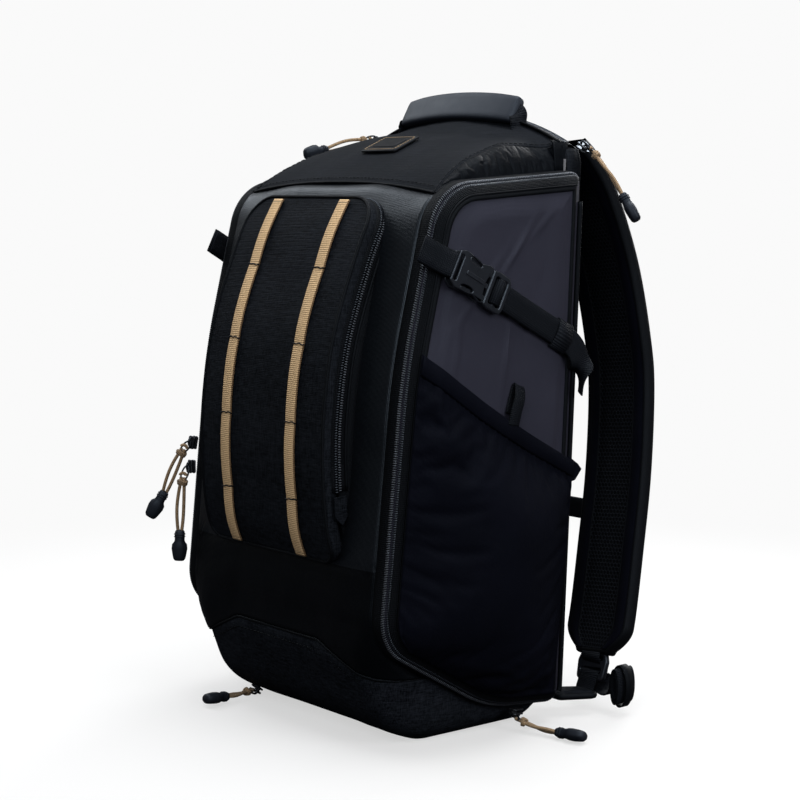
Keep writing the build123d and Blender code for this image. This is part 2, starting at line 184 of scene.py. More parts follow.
def grid_uv(points):
    """(u, v) in millimetres for a grid of points, from the lengths along its middle row and column."""
    rows, cols = points.shape[:2]
    u = np.concatenate([[0], np.cumsum(np.linalg.norm(np.diff(points[rows // 2], axis=0), axis=1))])
    v = np.concatenate([[0], np.cumsum(np.linalg.norm(np.diff(points[:, cols // 2], axis=0), axis=1))])
    return [(u[j], v[i]) for i in range(rows) for j in range(cols)]


def sheet(name, points, material, thick=0.0, close_rows=False, close_cols=False, flip=False):
    """Sheet of cloth from a grid of points. A thickness grows to the back of its faces."""
    points = np.array(points, float)
    rows, cols = points.shape[:2]
    faces = grid_faces(rows, cols, close_rows, close_cols)
    if flip:
        faces = [f[::-1] for f in faces]
    obj = add_mesh(name, points.reshape(-1, 3), faces, material, grid_uv(points))
    if thick:
        solid = obj.modifiers.new("thickness", "SOLIDIFY")
        solid.thickness = thick * MM
        solid.offset = -1
    return obj


def frames_along(path, closed=False, up=None):
    """Tangent and two normals at each point of a path, turned as little as possible along it."""
    p = np.array(path, float)
    if closed:
        t = np.roll(p, -1, 0) - np.roll(p, 1, 0)
    else:
        t = np.gradient(p, axis=0)
    t /= np.linalg.norm(t, axis=1)[:, None]
    n = np.array(up if up is not None else (0.3, 0.5, 0.8), float)
    normals = []
    for d in t:
        n = n - (n @ d) * d
        n /= np.linalg.norm(n)
        normals.append(n)
    normals = np.array(normals)
    return t, normals, np.cross(t, normals)


def tube(name, path, radius, material, closed=False, around=10, flat=1.0, up=None, cap=True):
    """Round or oval cord along a path; radius may be one value or one per point."""
    path = np.array(path, float)
    radii = np.broadcast_to(np.array(radius, float), (len(path),))
    _, n, b = frames_along(path, closed, up)
    length = np.concatenate([[0], np.cumsum(np.linalg.norm(np.diff(path, axis=0), axis=1))])
    verts, uvs = [], []
    for i, p in enumerate(path):
        for k in range(around):
            a = 2 * math.pi * k / around
            verts.append(p + n[i] * math.cos(a) * radii[i] * flat + b[i] * math.sin(a) * radii[i])
            uvs.append((2 * math.pi * radii.mean() * k / around, length[i]))
    faces = grid_faces(len(path), around, closed, True)
    if cap and not closed:
        faces.append(tuple(range(around))[::-1])
        last = (len(path) - 1) * around
        faces.append(tuple(range(last, last + around)))
    faces = [f[::-1] for f in faces]
    return add_mesh(name, verts, faces, material, uvs)


def ribbon(name, path, across, width, thick, material, round_edge=0.35, lift=0.0):
    """Webbing: a flat band along a path. `across` is its width direction, one vector or one per point."""
    path = np.array(path, float)
    across = np.broadcast_to(np.array(across, float), path.shape).copy()
    t = np.gradient(path, axis=0)
    t /= np.linalg.norm(t, axis=1)[:, None]
    across -= (across * t).sum(1)[:, None] * t
    across /= np.linalg.norm(across, axis=1)[:, None]
    up = np.cross(t, across)
    half, h = width / 2, thick / 2
    e = min(round_edge * thick, half)
    section = [(-half, -h + e), (-half, h - e), (-half + e, h), (-half * 0.5, h), (0, h), (half * 0.5, h), (half - e, h),
               (half, h - e), (half, -h + e), (half - e, -h), (0, -h), (-half + e, -h)]
    length = np.concatenate([[0], np.cumsum(np.linalg.norm(np.diff(path, axis=0), axis=1))])
    verts, uvs = [], []
    for i, p in enumerate(path):
        for a, c in section:
            verts.append(p + across[i] * a + up[i] * (c + lift))
            uvs.append((a + half, length[i]))
    n = len(section)
    faces = grid_faces(len(path), n, False, True)
    last = (len(path) - 1) * n
    faces += [tuple(range(n))[::-1], tuple(range(last, last + n))]
    return add_mesh(name, verts, faces, material, uvs)


def join(name, objs):
    """One object from several, keeping the first one's material slots in order."""
    bpy.ops.object.select_all(action="DESELECT")
    for o in objs:
        o.select_set(True)
    bpy.context.view_layer.objects.active = objs[0]
    bpy.ops.object.join()
    objs[0].name = name
    return objs[0]


def mirrored_copy(obj, name):
    """Mirror image of an object across the bag's middle plane."""
    twin = obj.copy()
    twin.data = obj.data.copy()
    twin.name = name
    twin.data.transform(Matrix.Scale(-1, 4, (1, 0, 0)))
    twin.data.flip_normals()
    bpy.context.scene.collection.objects.link(twin)
    return twin


def piece(obj, body, *replaced, slot=None):
    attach(obj, body)
    if replaced:
        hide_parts(*replaced)
    return obj


def pair(obj, name, body, *replaced, slot=None):
    """Puts a right-hand piece and its mirror image on the right and left bodies."""
    twin = mirrored_copy(obj, "left_" + name)
    obj.name = "right_" + name
    for o, side in ((obj, "right"), (twin, "left")):
        own = body if body in ("root", "lid") else f"{side}_{body}"
        piece(o, own, *[f"{side}_{r}" for r in replaced], slot=slot)


# ------------------------------------------------------------------ materials
COOL = (0.70, 0.84, 1.0)  # tint of the sheen on the dark cloths


class Maker:
    """Builds one node material, a node at a time."""

    def __init__(self, name):
        self.mat = bpy.data.materials.new(name)
        self.mat.use_nodes = True
        self.tree = self.mat.node_tree
        self.bsdf = self.tree.nodes["Principled BSDF"]
        self.coords = self.node("ShaderNodeTexCoord")

    def node(self, kind, **settings):
        n = self.tree.nodes.new(kind)
        for k, v in settings.items():
            setattr(n, k, v)
        return n

    def link(self, a, b):
        self.tree.links.new(a, b)

    def value(self, socket, v):
        """Sets a socket to a number or links another socket to it."""
        if isinstance(v, bpy.types.NodeSocket):
            self.link(v, socket)
        else:
            socket.default_value = v

    def math(self, op, a, b=0.0, c=None):
        n = self.node("ShaderNodeMath", operation=op)
        self.value(n.inputs[0], a)
        self.value(n.inputs[1], b)
        if c is not None:
            self.value(n.inputs[2], c)
        return n.outputs[0]

    def vmath(self, op, a, b=(0, 0, 0)):
        n = self.node("ShaderNodeVectorMath", operation=op)
        self.value(n.inputs[0], a)
        self.value(n.inputs[1], b)
        return n.outputs["Value" if op in ("LENGTH", "DOT_PRODUCT") else "Vector"]

    def xyz(self, vector):
        n = self.node("ShaderNodeSeparateXYZ")
        self.link(vector, n.inputs[0])
        return n.outputs

    def noise(self, scale_mm, detail=3.0, rough=0.55, stretch=(1, 1, 1), vector=None):
        """Noise with grains about scale_mm across."""
        m = self.node("ShaderNodeMapping")
        self.link(vector or self.coords.outputs["Object"], m.inputs[0])
        m.inputs["Scale"].default_value = [s / (scale_mm * MM) for s in stretch]
        n = self.node("ShaderNodeTexNoise")
        n.inputs["Scale"].default_value = 1.0
        n.inputs["Detail"].default_value = detail
        n.inputs["Roughness"].default_value = rough
        self.link(m.outputs[0], n.inputs["Vector"])
        return n.outputs["Fac"]

    def ramp(self, fac, *stops):
        """Colour ramp; stops are (position, colour)."""
        n = self.node("ShaderNodeValToRGB")
        self.value(n.inputs[0], fac)
        while len(n.color_ramp.elements) < len(stops):
            n.color_ramp.elements.new(0.5)
        for e, (pos, colour) in zip(n.color_ramp.elements, stops):
            e.position = pos
            e.color = (*colour, 1) if len(colour) == 3 else colour
        return n.outputs[0]

    def mix(self, fac, a, b):
        n = self.node("ShaderNodeMix", data_type="RGBA")
        self.value(n.inputs[0], fac)
        for socket, v in ((n.inputs[6], a), (n.inputs[7], b)):
            if isinstance(v, bpy.types.NodeSocket):
                self.link(v, socket)
            else:
                socket.default_value = (*v, 1)
        return n.outputs[2]

    def bumps(self, *layers):
        """Stacks bump layers of (height, depth in mm, strength)."""
        normal = None
        for height, depth, strength in layers:
            b = self.node("ShaderNodeBump")
            b.inputs["Strength"].default_value = strength
            b.inputs["Distance"].default_value = depth * MM
            self.link(height, b.inputs["Height"])
            if normal is not None:
                self.link(normal, b.inputs["Normal"])
            normal = b.outputs[0]
        self.link(normal, self.bsdf.inputs["Normal"])

    def finish(self, colour, rough, sheen=0.0, specular=0.5, sheen_tint=(1, 1, 1), coat=0.0):
        self.value(self.bsdf.inputs["Base Color"], colour if isinstance(colour, bpy.types.NodeSocket) else (*colour, 1))
        self.value(self.bsdf.inputs["Roughness"], rough)
        self.bsdf.inputs["Sheen Weight"].default_value = sheen
        self.bsdf.inputs["Sheen Roughness"].default_value = 0.45
        self.bsdf.inputs["Sheen Tint"].default_value = (*sheen_tint, 1)
        self.bsdf.inputs["Specular IOR Level"].default_value = specular
        self.bsdf.inputs["Specular Tint"].default_value = (*COOL, 1)
        self.bsdf.inputs["Coat Weight"].default_value = coat
        self.bsdf.inputs["Coat Roughness"].default_value = 0.3
        return self.mat


def thread_pattern(m, pitch_mm):
    """Egg-crate height from threads running along all three axes, so it reads as a weave on any face."""
    k = 2 * math.pi / (pitch_mm * MM)
    x, y, z = m.xyz(m.coords.outputs["Object"])
    total = None
    for axis in (x, y, z):
        wave = m.math("SINE", m.math("MULTIPLY", axis, k))
        total = wave if total is None else m.math("ADD", total, wave)
    return m.math("MULTIPLY_ADD", total, 1 / 6, 0.5)


def woven(name, dark, light, pitch=1.3):
    """Melange pack cloth: flecked yarns in a plain weave."""
    m = Maker(name)
    warp = m.noise(1.1, 2, 0.6, (1, 1, 0.14))
    weft = m.noise(1.1, 2, 0.6, (0.14, 0.14, 1))
    flecks = m.math("MULTIPLY", m.math("ADD", warp, weft), 0.5)
    blotch = m.noise(55, 3)
    mixed = m.math("ADD", m.math("MULTIPLY", flecks, 0.8), m.math("MULTIPLY", blotch, 0.2))
    colour = m.ramp(mixed, (0.38, dark), (0.64, light))
    weave = thread_pattern(m, pitch)
    m.bumps((m.noise(38, 3), 1.4, 0.35), (weave, 0.4, 0.45), (flecks, 0.5, 0.8))
    return m.finish(colour, m.math("MULTIPLY_ADD", flecks, 0.2, 0.66), sheen=0.0, specular=0.1)


def smooth_cloth(name, dark, light, rough, creases=0.5, specular=0.5, sheen=0.1, micro=0.9, crease_mm=26):
    """Fine nylon: faint creases, slight colour drift and a tight weave too small to count."""
    m = Maker(name)
    drift = m.noise(70, 4, 0.6)
    crease = m.noise(crease_mm, 5, 0.5, (1.0, 1.0, 0.55))
    sharp = m.math("ABSOLUTE", m.math("SUBTRACT", crease, 0.5))
    colour = m.mix(m.math("MULTIPLY_ADD", drift, 1.6, -0.3), dark, light)
    fine = thread_pattern(m, micro)
    m.bumps((crease, 2.2, creases), (sharp, 1.2, creases * 0.5), (fine, 0.22, 0.5), (m.noise(0.7, 1), 0.12, 0.4))
    shine = m.math("MULTIPLY_ADD", m.noise(16, 3), 0.16, rough - 0.08)
    return m.finish(colour, shine, sheen=sheen, specular=specular)


def coated_front(name, dark, light, seam_mm):
    """Coated cloth of the front panel, less shiny below its cross seam and painted blacker there as shade under the
    front pocket.
    """
    m = Maker(name)
    below = m.math("LESS_THAN", m.xyz(m.coords.outputs["Object"])[2], seam_mm * MM)
    drift = m.noise(70, 4, 0.6)
    crease = m.noise(34, 5, 0.5, (1.0, 1.0, 0.55))
    sharp = m.math("ABSOLUTE", m.math("SUBTRACT", crease, 0.5))
    upper = m.mix(m.math("MULTIPLY_ADD", drift, 1.6, -0.3), dark, light)
    # Painted shade: below the seam the colour is mixed most of the way to near black, for the shadow under the pocket.
    colour = m.mix(m.math("MULTIPLY", below, 0.8), upper, (0.0003, 0.0004, 0.0007))
    m.bumps((crease, 2.2, 0.22), (sharp, 1.2, 0.11), (thread_pattern(m, 0.9), 0.22, 0.5), (m.noise(0.7, 1), 0.12, 0.4))
    m.finish(colour, m.math("MULTIPLY_ADD", m.noise(16, 3), 0.16, 0.32))
    m.value(m.bsdf.inputs["Specular IOR Level"], m.math("MULTIPLY_ADD", below, -0.28, 0.46))
    return m.mat


def webbing(name, dark, light, edge, rib=1.25, rough=0.62, half=10.0):
    """Ribbed band: cross ribs, lengthwise yarns, and darker selvedges. u runs across the band, v along it."""
    m = Maker(name)
    u, v, _ = m.xyz(m.coords.outputs["UV"])
    ribs = m.math("SINE", m.math("MULTIPLY", v, 2 * math.pi / (rib * MM)))
    yarns = m.math("SINE", m.math("MULTIPLY", u, 2 * math.pi / (1.5 * MM)))
    height = m.math("MULTIPLY_ADD", ribs, 0.5, 0.5)
    grain = m.noise(0.9, 2)
    tone = m.math("ADD", m.math("MULTIPLY", height, 0.35), m.math("MULTIPLY", grain, 0.75))
    colour = m.ramp(tone, (0.22, dark), (0.72, light))
    rim = m.math("GREATER_THAN", m.math("ABSOLUTE", m.math("SUBTRACT", u, half * MM)), (half - 0.7) * MM)
    colour = m.mix(m.math("MULTIPLY", rim, 0.85), colour, edge)
    m.bumps((height, 0.35, 0.8), (m.math("MULTIPLY_ADD", yarns, 0.5, 0.5), 0.2, 0.5), (grain, 0.2, 0.4))
    return m.finish(colour, rough, sheen=0.0, specular=0.14)


def plastic(name, colour, rough, grain_mm=0.5, wear_and_highlight=(0.09, 0.09, 0.1), specular=0.5):
    """Moulded part: fine spark texture and sharp edges painted a little paler, as rubbed wear and, on the zip coil, as
    a painted highlight along the teeth.
    """
    m = Maker(name)
    geo = m.node("ShaderNodeNewGeometry")
    edge = m.math("MULTIPLY_ADD", geo.outputs["Pointiness"], 9.0, -4.75)
    # Paler sharp edges: rubbed wear, and on the zip coil a painted highlight on the crests of the teeth.
    scuff_and_highlight = m.math("MULTIPLY", m.math("MAXIMUM", edge, 0.0), m.noise(5, 3))
    tone = m.mix(m.math("MINIMUM", scuff_and_highlight, 0.7), colour, wear_and_highlight)
    m.bumps((m.noise(grain_mm, 2), 0.06, 0.5), (m.noise(9, 3), 0.3, 0.2))
    return m.finish(tone, m.math("MULTIPLY_ADD", m.noise(8, 4), 0.2, rough - 0.1), specular=specular)


def cord(name, dark, light, twist=1.9):
    """Braided cord. u runs round the cord and v along it."""
    m = Maker(name)
    u, v, _ = m.xyz(m.coords.outputs["UV"])
    k = 2 * math.pi / (twist * MM)
    a = m.math("SINE", m.math("MULTIPLY", m.math("ADD", u, v), k))
    b = m.math("SINE", m.math("MULTIPLY", m.math("SUBTRACT", v, u), k))
    braid = m.math("MULTIPLY_ADD", m.math("MULTIPLY", a, b), 0.5, 0.5)
    tone = m.math("ADD", m.math("MULTIPLY", braid, 0.6), m.math("MULTIPLY", m.noise(0.8, 2), 0.4))
    m.bumps((braid, 0.5, 0.9))
    return m.finish(m.ramp(tone, (0.2, dark), (0.75, light)), 0.6, sheen=0.2, specular=0.3)


def honeycomb(name, dark, light, cell=3.6):
    """Air mesh: a honeycomb of raised ribs round dark cells. u and v run over the pad in metres."""
    m = Maker(name)
    size = (cell * MM, cell * math.sqrt(3) * MM, 1.0)
    uv = m.coords.outputs["UV"]
    nearest = None
    for shift in ((0.0, 0.0, 0.0), (0.5, 0.5, 0.0)):
        cellwise = m.vmath("ADD", m.vmath("DIVIDE", uv, size), shift)
        local = m.vmath("SUBTRACT", m.vmath("FRACTION", cellwise), (0.5, 0.5, 0.0))
        x, y, _ = m.xyz(m.vmath("MULTIPLY", local, (1.0, math.sqrt(3), 0.0)))
        far = m.math("SQRT", m.math("ADD", m.math("POWER", x, 2.0), m.math("POWER", y, 2.0)))
        nearest = far if nearest is None else m.math("MINIMUM", nearest, far)
    hole = m.node("ShaderNodeMapRange", interpolation_type="SMOOTHSTEP")
    m.link(nearest, hole.inputs[0])
    for socket, v in zip(hole.inputs[1:5], (0.26, 0.46, 0.0, 1.0)):
        socket.default_value = v
    rib = hole.outputs[0]
    colour = m.mix(rib, dark, light)
    m.bumps((m.noise(30, 3), 1.2, 0.3), (rib, 1.3, 1.0), (thread_pattern(m, 0.9), 0.2, 0.5))
    return m.finish(colour, 0.75, sheen=0.0, specular=0.08)


MAT = {}
SEAM_Z = 140.0  # cross seam under the front pocket


def make_materials():
    MAT["woven"] = woven("woven_charcoal", (0.0004, 0.0006, 0.0012), (0.0130, 0.0152, 0.0200))
    MAT["woven_top"] = woven("woven_lid", (0.0026, 0.0033, 0.0048), (0.0102, 0.0117, 0.0157))
    MAT["woven_boot"] = woven("woven_boot", (0.0009, 0.0012, 0.0020), (0.0185, 0.0215, 0.0285))
    MAT["coated"] = smooth_cloth("coated_slate", (0.0010, 0.0014, 0.0021), (0.0032, 0.0040, 0.0058), 0.40, 0.22, 0.46, 0.0, crease_mm=34)
    MAT["coated_front"] = coated_front("coated_front", (0.0010, 0.0014, 0.0021), (0.0032, 0.0040, 0.0058), SEAM_Z)
    MAT["gusset"] = smooth_cloth("coated_gusset", (0.0014, 0.0018, 0.0027), (0.0036, 0.0043, 0.0060), 0.50, 0.7, 0.08, 0.0, crease_mm=15)
    MAT["door"] = smooth_cloth("door_nylon", (0.0215, 0.0210, 0.0330), (0.0320, 0.0315, 0.0480), 0.55, 0.38, 0.22, 0.02, crease_mm=34)
    MAT["stretch"] = smooth_cloth("stretch_knit", (0.0011, 0.0012, 0.0030), (0.0032, 0.0035, 0.0076), 0.72, 0.25, 0.06, 0.0)
    MAT["binding"] = smooth_cloth("binding_tape", (0.0010, 0.0011, 0.0015), (0.0034, 0.0036, 0.0046), 0.6, 0.2, 0.14, 0.0)
    MAT["tape"] = webbing("zip_tape", (0.0008, 0.0009, 0.0012), (0.0050, 0.0053, 0.0066), (0.001, 0.001, 0.0014), rib=1.1)
    MAT["tan"] = webbing("tan_webbing", (0.50, 0.325, 0.165), (0.84, 0.585, 0.325), (0.09, 0.045, 0.02), rib=1.5, half=6.2)
    MAT["black_web"] = webbing("black_webbing", (0.0006, 0.0008, 0.0014), (0.0056, 0.0064, 0.0092), (0.0013, 0.0015, 0.002), rib=1.3)
    # The coil's pale edge colour is a painted highlight standing in for the glints on its teeth.
    MAT["coil"] = plastic("zip_coil", (0.0200, 0.0225, 0.0290), 0.32, wear_and_highlight=(0.10, 0.105, 0.12), specular=0.8)
    MAT["buckle"] = plastic("buckle_plastic", (0.0105, 0.0115, 0.0150), 0.30, wear_and_highlight=(0.08, 0.085, 0.10), specular=0.6)
    MAT["rubber"] = plastic("handle_rubber", (0.0190, 0.0225, 0.0310), 0.5, 0.8, wear_and_highlight=(0.035, 0.04, 0.05), specular=0.36)
    MAT["tip"] = plastic("pull_end", (0.0120, 0.0140, 0.0200), 0.48, 0.8, wear_and_highlight=(0.02, 0.02, 0.024), specular=0.3)
    MAT["metal"] = plastic("slider_enamel", (0.02, 0.021, 0.024), 0.24, 0.4, wear_and_highlight=(0.3, 0.3, 0.32), specular=0.6)
    MAT["metal"].node_tree.nodes["Principled BSDF"].inputs["Metallic"].default_value = 0.4
    MAT["cord"] = cord("tan_cord", (0.24, 0.15, 0.078), (0.56, 0.39, 0.225))
    MAT["mesh"] = honeycomb("air_mesh", (0.0010, 0.0012, 0.0017), (0.0080, 0.0092, 0.0125))
    MAT["thread_black"] = smooth_cloth("black_thread", (0.0010, 0.0010, 0.0013), (0.003, 0.003, 0.0036), 0.5, 0.2, 0.2, 0.0)
    MAT["thread_tan"] = smooth_cloth("tan_thread", (0.30, 0.20, 0.10), (0.48, 0.34, 0.19), 0.5, 0.2)
    MAT["patch"] = plastic("patch_rubber", (0.0030, 0.0032, 0.0040), 0.45, 0.9, specular=0.2)
    MAT["lining"] = smooth_cloth("grey_lining", (0.10, 0.10, 0.11), (0.15, 0.15, 0.16), 0.85, 0.4, 0.2, 0.4)
    MAT["sheet"] = plastic("frame_sheet", (0.02, 0.02, 0.022), 0.5)


make_materials()


# ------------------------------------------------------------------ driving shapes, in millimetres
DOOR_IN, DOOR_OUT = cad("right_door")[0][0], cad("right_door")[1][0]
BODY_X = cad("front_panel")[1][0]
POCKET_X = cad("pocket_flap")[1][0]
POCKET_LOW, POCKET_HIGH = cad("pocket_flap")[0][2], cad("pocket_flap")[1][2]

# Outline of a side door as y, z, corner radius: back top, front top, front knee, front foot, keel, back foot.
SIDE_OUTLINE = [(95, 430, 8), (-50, 420, 42), (-84, 285, 500), (-105, 86, 36), (0, 24, 110), (76, 16, 12)]
HINGE_FOOT, HINGE_HEAD = (76.0, 16.0), (95.0, 430.0)
POCKET_FACE = [(-110, 140), (-117.5, 168), (-121, 214), (-119, 258), (-109.5, 311), (-87, 372), (-68, 409)]
ARC_Z, LID_ARC = 217.0, 261.0  # centre height and radius of the arched zip over the back

ARC_STEPS, LINE_STEPS = 14, 22


def back_y(z):
    """y of the leaning line that the door hinges lie on."""
    (y0, z0), (y1, z1) = HINGE_FOOT, HINGE_HEAD
    return y0 + (y1 - y0) * (z - z0) / (z1 - z0)


def door_top(y):
    return 420 + 10 * (y + 50) / 145


def door_loop(d, outline=SIDE_OUTLINE):
    """Closed door outline inset by d, as (y, z), with the same count of points for every d."""
    arcs = rounded(inset(outline, d), ARC_STEPS)
    out = []
    for i in range(0, len(arcs), ARC_STEPS + 1):
        out.extend(arcs[i:i + ARC_STEPS])
        a, b = arcs[i + ARC_STEPS], arcs[(i + ARC_STEPS + 1) % len(arcs)]
        for k in range(LINE_STEPS):
            out.append(a + (b - a) * k / LINE_STEPS)
    return np.array(out)


ZIP_POINTS = len(door_loop(0)) - LINE_STEPS  # the zip runs round everything but the hinge side


def zip_row(x, d):
    """Open row of points along the door zip at distance x from the bag's middle plane, inset by d."""
    loop = door_loop(d)[ARC_STEPS // 2:ZIP_POINTS - ARC_STEPS // 2]
    return np.column_stack([np.full(len(loop), x), loop])


def full_row(x, d):
    loop = door_loop(d)
    return np.column_stack([np.full(len(loop), x), loop])


def surface(fn, us, vs, lift=None):
    """Grid of points fn(u, v), moved along its normals by lift(u, v, point)."""
    p = np.array([[fn(u, v) for u in us] for v in vs], float)
    if lift is None:
        return p
    du, dv = np.gradient(p, axis=1), np.gradient(p, axis=0)
    n = np.cross(du, dv)
    n /= np.linalg.norm(n, axis=2)[:, :, None] + 1e-9
    amount = np.array([[lift(u, v, p[i, j]) for j, u in enumerate(us)] for i, v in enumerate(vs)])
    return p + n * amount[:, :, None]


def along(path, t):
    """Point on a polyline sampled evenly, at t in 0..1."""
    s = np.clip(t, 0, 1) * (len(path) - 1)
    i = min(int(s), len(path) - 2)
    return path[i] + (path[i + 1] - path[i]) * (s - i)


def cut(path, start, end):
    """Part of a polyline between the points nearest to start and end."""
    a = np.argmin(np.linalg.norm(path - np.array(start), axis=1))
    b = np.argmin(np.linalg.norm(path - np.array(end), axis=1))
    return resample(path[a:b + 1], 160)


# ------------------------------------------------------------------ the wrap: front, lower front and base
SHELL_X = 116.0  # where the wrap meets the door zips
ROLL_X = 93.0  # where the base starts to roll up to the door zips
WAIST_Z = 100.0


def wrap_profiles():
    """Centre and side profiles of the wrap as (y, z): the front part, then the part under the bag."""
    crisp = [(y, z, 12 if z == 420 else r) for y, z, r in SIDE_OUTLINE]
    centre = cut(door_loop(0, crisp), (-44, 421), (-103.5, WAIST_Z))
    side = cut(door_loop(0), (-42, 413.5), (-103.5, WAIST_Z))
    keel = rounded([(*centre[-1], 1), (-106.2, 74, 46), (-86, 22, 50), (-48, 0, 38), (56, 0, 12), (70, 24, 3)], 12)
    centre_low = resample(keel[6:], 160)
    side_low = cut(door_loop(0), (-103.5, WAIST_Z), (72, 17))
    return centre, side, centre_low, side_low


WRAP = wrap_profiles()


def wrap_point(x, t):
    """Point of the wrap. t runs 0..1 down the front and 1..2 under the bag."""
    side = math.copysign(1, x)
    if t <= 1:
        c, s = along(WRAP[0], t), along(WRAP[1], t)
        w = float(smooth((abs(x) - 45) / 72))
        y, z = c + (s - c) * w
        return (x, y, z)
    c, s = along(WRAP[2], t - 1), along(WRAP[3], t - 1)
    reach = (abs(x) - ROLL_X) / (SHELL_X - ROLL_X)
    if reach <= 0:
        return (x, *c)
    a = reach * math.pi / 2
    y, z = c + (s - c) * (1 - math.cos(a))
    rolled = ROLL_X + (SHELL_X - ROLL_X) * math.sin(a)
    return (side * (abs(x) + (rolled - abs(x)) * float(smooth((t - 1) * 2.5))), y, z)


def boot_edge_z(x):
    """Height of the woven boot's upper seam."""
    return 81 - max(0.0, abs(x) - 52) * 0.42


def boot_edge_t(x):
    target = boot_edge_z(x)
    for k in range(400):
        t = 1 + k / 400
        if wrap_point(x, t)[2] <= target:
            return t
    return 2.0


def front_panel():
    """Smooth coated front between the door zips, from the lid seam to the boot."""
    xs = np.concatenate([np.linspace(-115.5, -110, 7), np.linspace(-107, 107, 60), np.linspace(110, 115.5, 7)])
    edges = {float(x): boot_edge_t(x) for x in xs}
    vs = np.concatenate([np.linspace(0, 0.03, 5), np.linspace(0.04, 1, 110)])

    def lift(x, v, p):
        rolled = 1.6 * smooth((115.5 - abs(x)) / 3.5) * smooth(v / 0.02)
        crown = 4.6 * (1 - (abs(x) / 116) ** 5) * smooth(v * 8) * smooth((1 - v) * 7)
        soft = 0.9 * lumps(p, 60, 1) + 0.35 * lumps(p, 24, 2)
        seam = -1.1 * math.exp(-((p[2] - SEAM_Z) / 1.3) ** 2)
        return -(0.2 + rolled + crown + soft + seam)

    pts = surface(lambda x, v: wrap_point(x, v * edges[float(x)]), xs, vs, lift)
    obj = sheet("front_panel_cloth", pts, MAT["coated_front"], 2.5, flip=True)
    piece(obj, "root", "front_panel", slot="coated_nylon")
    seam = [wrap_lift(x, SEAM_Z - 2.6, 3.2) for x in np.linspace(-108, 108, 120)]
    piece(stitches("lower_front_stitching", seam, MAT["thread_black"]), "root")



def wrap_lift(x, z, out):
    """Point on the front part of the wrap at height z, moved outwards by out."""
    c = WRAP[0]
    i = np.argmin(np.abs(c[:, 1] - z) + (c[:, 0] > -45) * 1000)
    d = c[min(i + 1, len(c) - 1)] - c[i - 1]
    n = np.array([d[1], -d[0]]) / np.linalg.norm(d)
    n = n if n[0] < 0 else -n
    return (x, c[i][0] + n[0] * out, z + n[1] * out)


def boot():
    """Woven boot that wraps the lower front and the base."""
    xs = np.concatenate([np.linspace(-SHELL_X, -ROLL_X, 16), np.linspace(-92, 92, 50), np.linspace(ROLL_X, SHELL_X, 16)])
    edges = {float(x): boot_edge_t(x) for x in xs}

    def lift(x, v, p):
        edge = 1.5 * smooth(v / 0.02)
        floor = smooth((p[2] - 1.5) / 10)
        soft = (1.6 * lumps(p, 48, 3) + 0.6 * lumps(p, 20, 4)) * floor
        return -(edge * (0.25 + 0.75 * floor) + soft * smooth((1 - v) * 12) - 0.2)

    vs = np.concatenate([np.linspace(0, 0.04, 6), np.linspace(0.05, 1, 90)])
    pts = surface(lambda x, v: wrap_point(x, edges[float(x)] + v * (2 - edges[float(x)])), xs, vs, lift)
    pts[:, :, 2] = np.maximum(pts[:, :, 2], 0.0)
    obj = sheet("base_boot_cloth", pts, MAT["woven_boot"], 3.0, flip=True)
    piece(obj, "root", "base_boot", "base_panel", slot="woven_nylon")
    rim = [np.array(wrap_point(x, edges[float(x)] + 0.004)) for x in xs if abs(x) < 118]
    rim = np.array([p + np.array([0, -1.0, -0.4]) for p in rim])
    piece(tube("boot_seam_piping", resample(rim, 140), 1.1, MAT["binding"], around=8), "root")
    line = [wrap_normal_point(x, edges[float(x)] + 0.035, 2.2) for x in xs if abs(x) < 96]
    piece(stitches("boot_stitching", line, MAT["thread_black"]), "root")


def wrap_normal_point(x, t, out):
    """Point of the wrap moved outwards along its normal."""
    p = np.array(wrap_point(x, t))
    du = np.array(wrap_point(x + 0.5, t)) - np.array(wrap_point(x - 0.5, t))
    dv = np.array(wrap_point(x, t + 0.004)) - np.array(wrap_point(x, t - 0.004))
    n = np.cross(du, dv)
    n /= np.linalg.norm(n)
    return p - n * out


# ------------------------------------------------------------------ sewing and zips
def stitches(name, path, material, stitch=3.2, gap=1.4, radius=0.32, sunk=0.0):
    """Row of thread stitches along a path."""
    path = np.array(path, float)
    length = np.linalg.norm(np.diff(path, axis=0), axis=1).sum()
    count = max(2, int(length / (stitch + gap)))
    fine = resample(path, count * 4 + 1)
    objs_verts, objs_faces = [], []
    for i in range(count):
        a, b, c = fine[i * 4], fine[i * 4 + 1], fine[i * 4 + 3]
        d = (c - a) / (np.linalg.norm(c - a) + 1e-9)
        side = np.cross(d, (0.31, 0.48, 0.82))
        side /= np.linalg.norm(side)
        up = np.cross(side, d)
        first = len(objs_verts)
        for q, r in ((a, 0.35), (a + d * 0.5, 1.0), (c - d * 0.5, 1.0), (c, 0.35)):
            for k in range(6):
                t = 2 * math.pi * k / 6
                objs_verts.append(q + (side * math.cos(t) + up * math.sin(t)) * radius * r)
        objs_faces += grid_faces(4, 6, False, True, first)
        objs_faces += [tuple(first + k for k in range(6))[::-1], tuple(first + 18 + k for k in range(6))]
    return add_mesh(name, objs_verts, objs_faces, material)


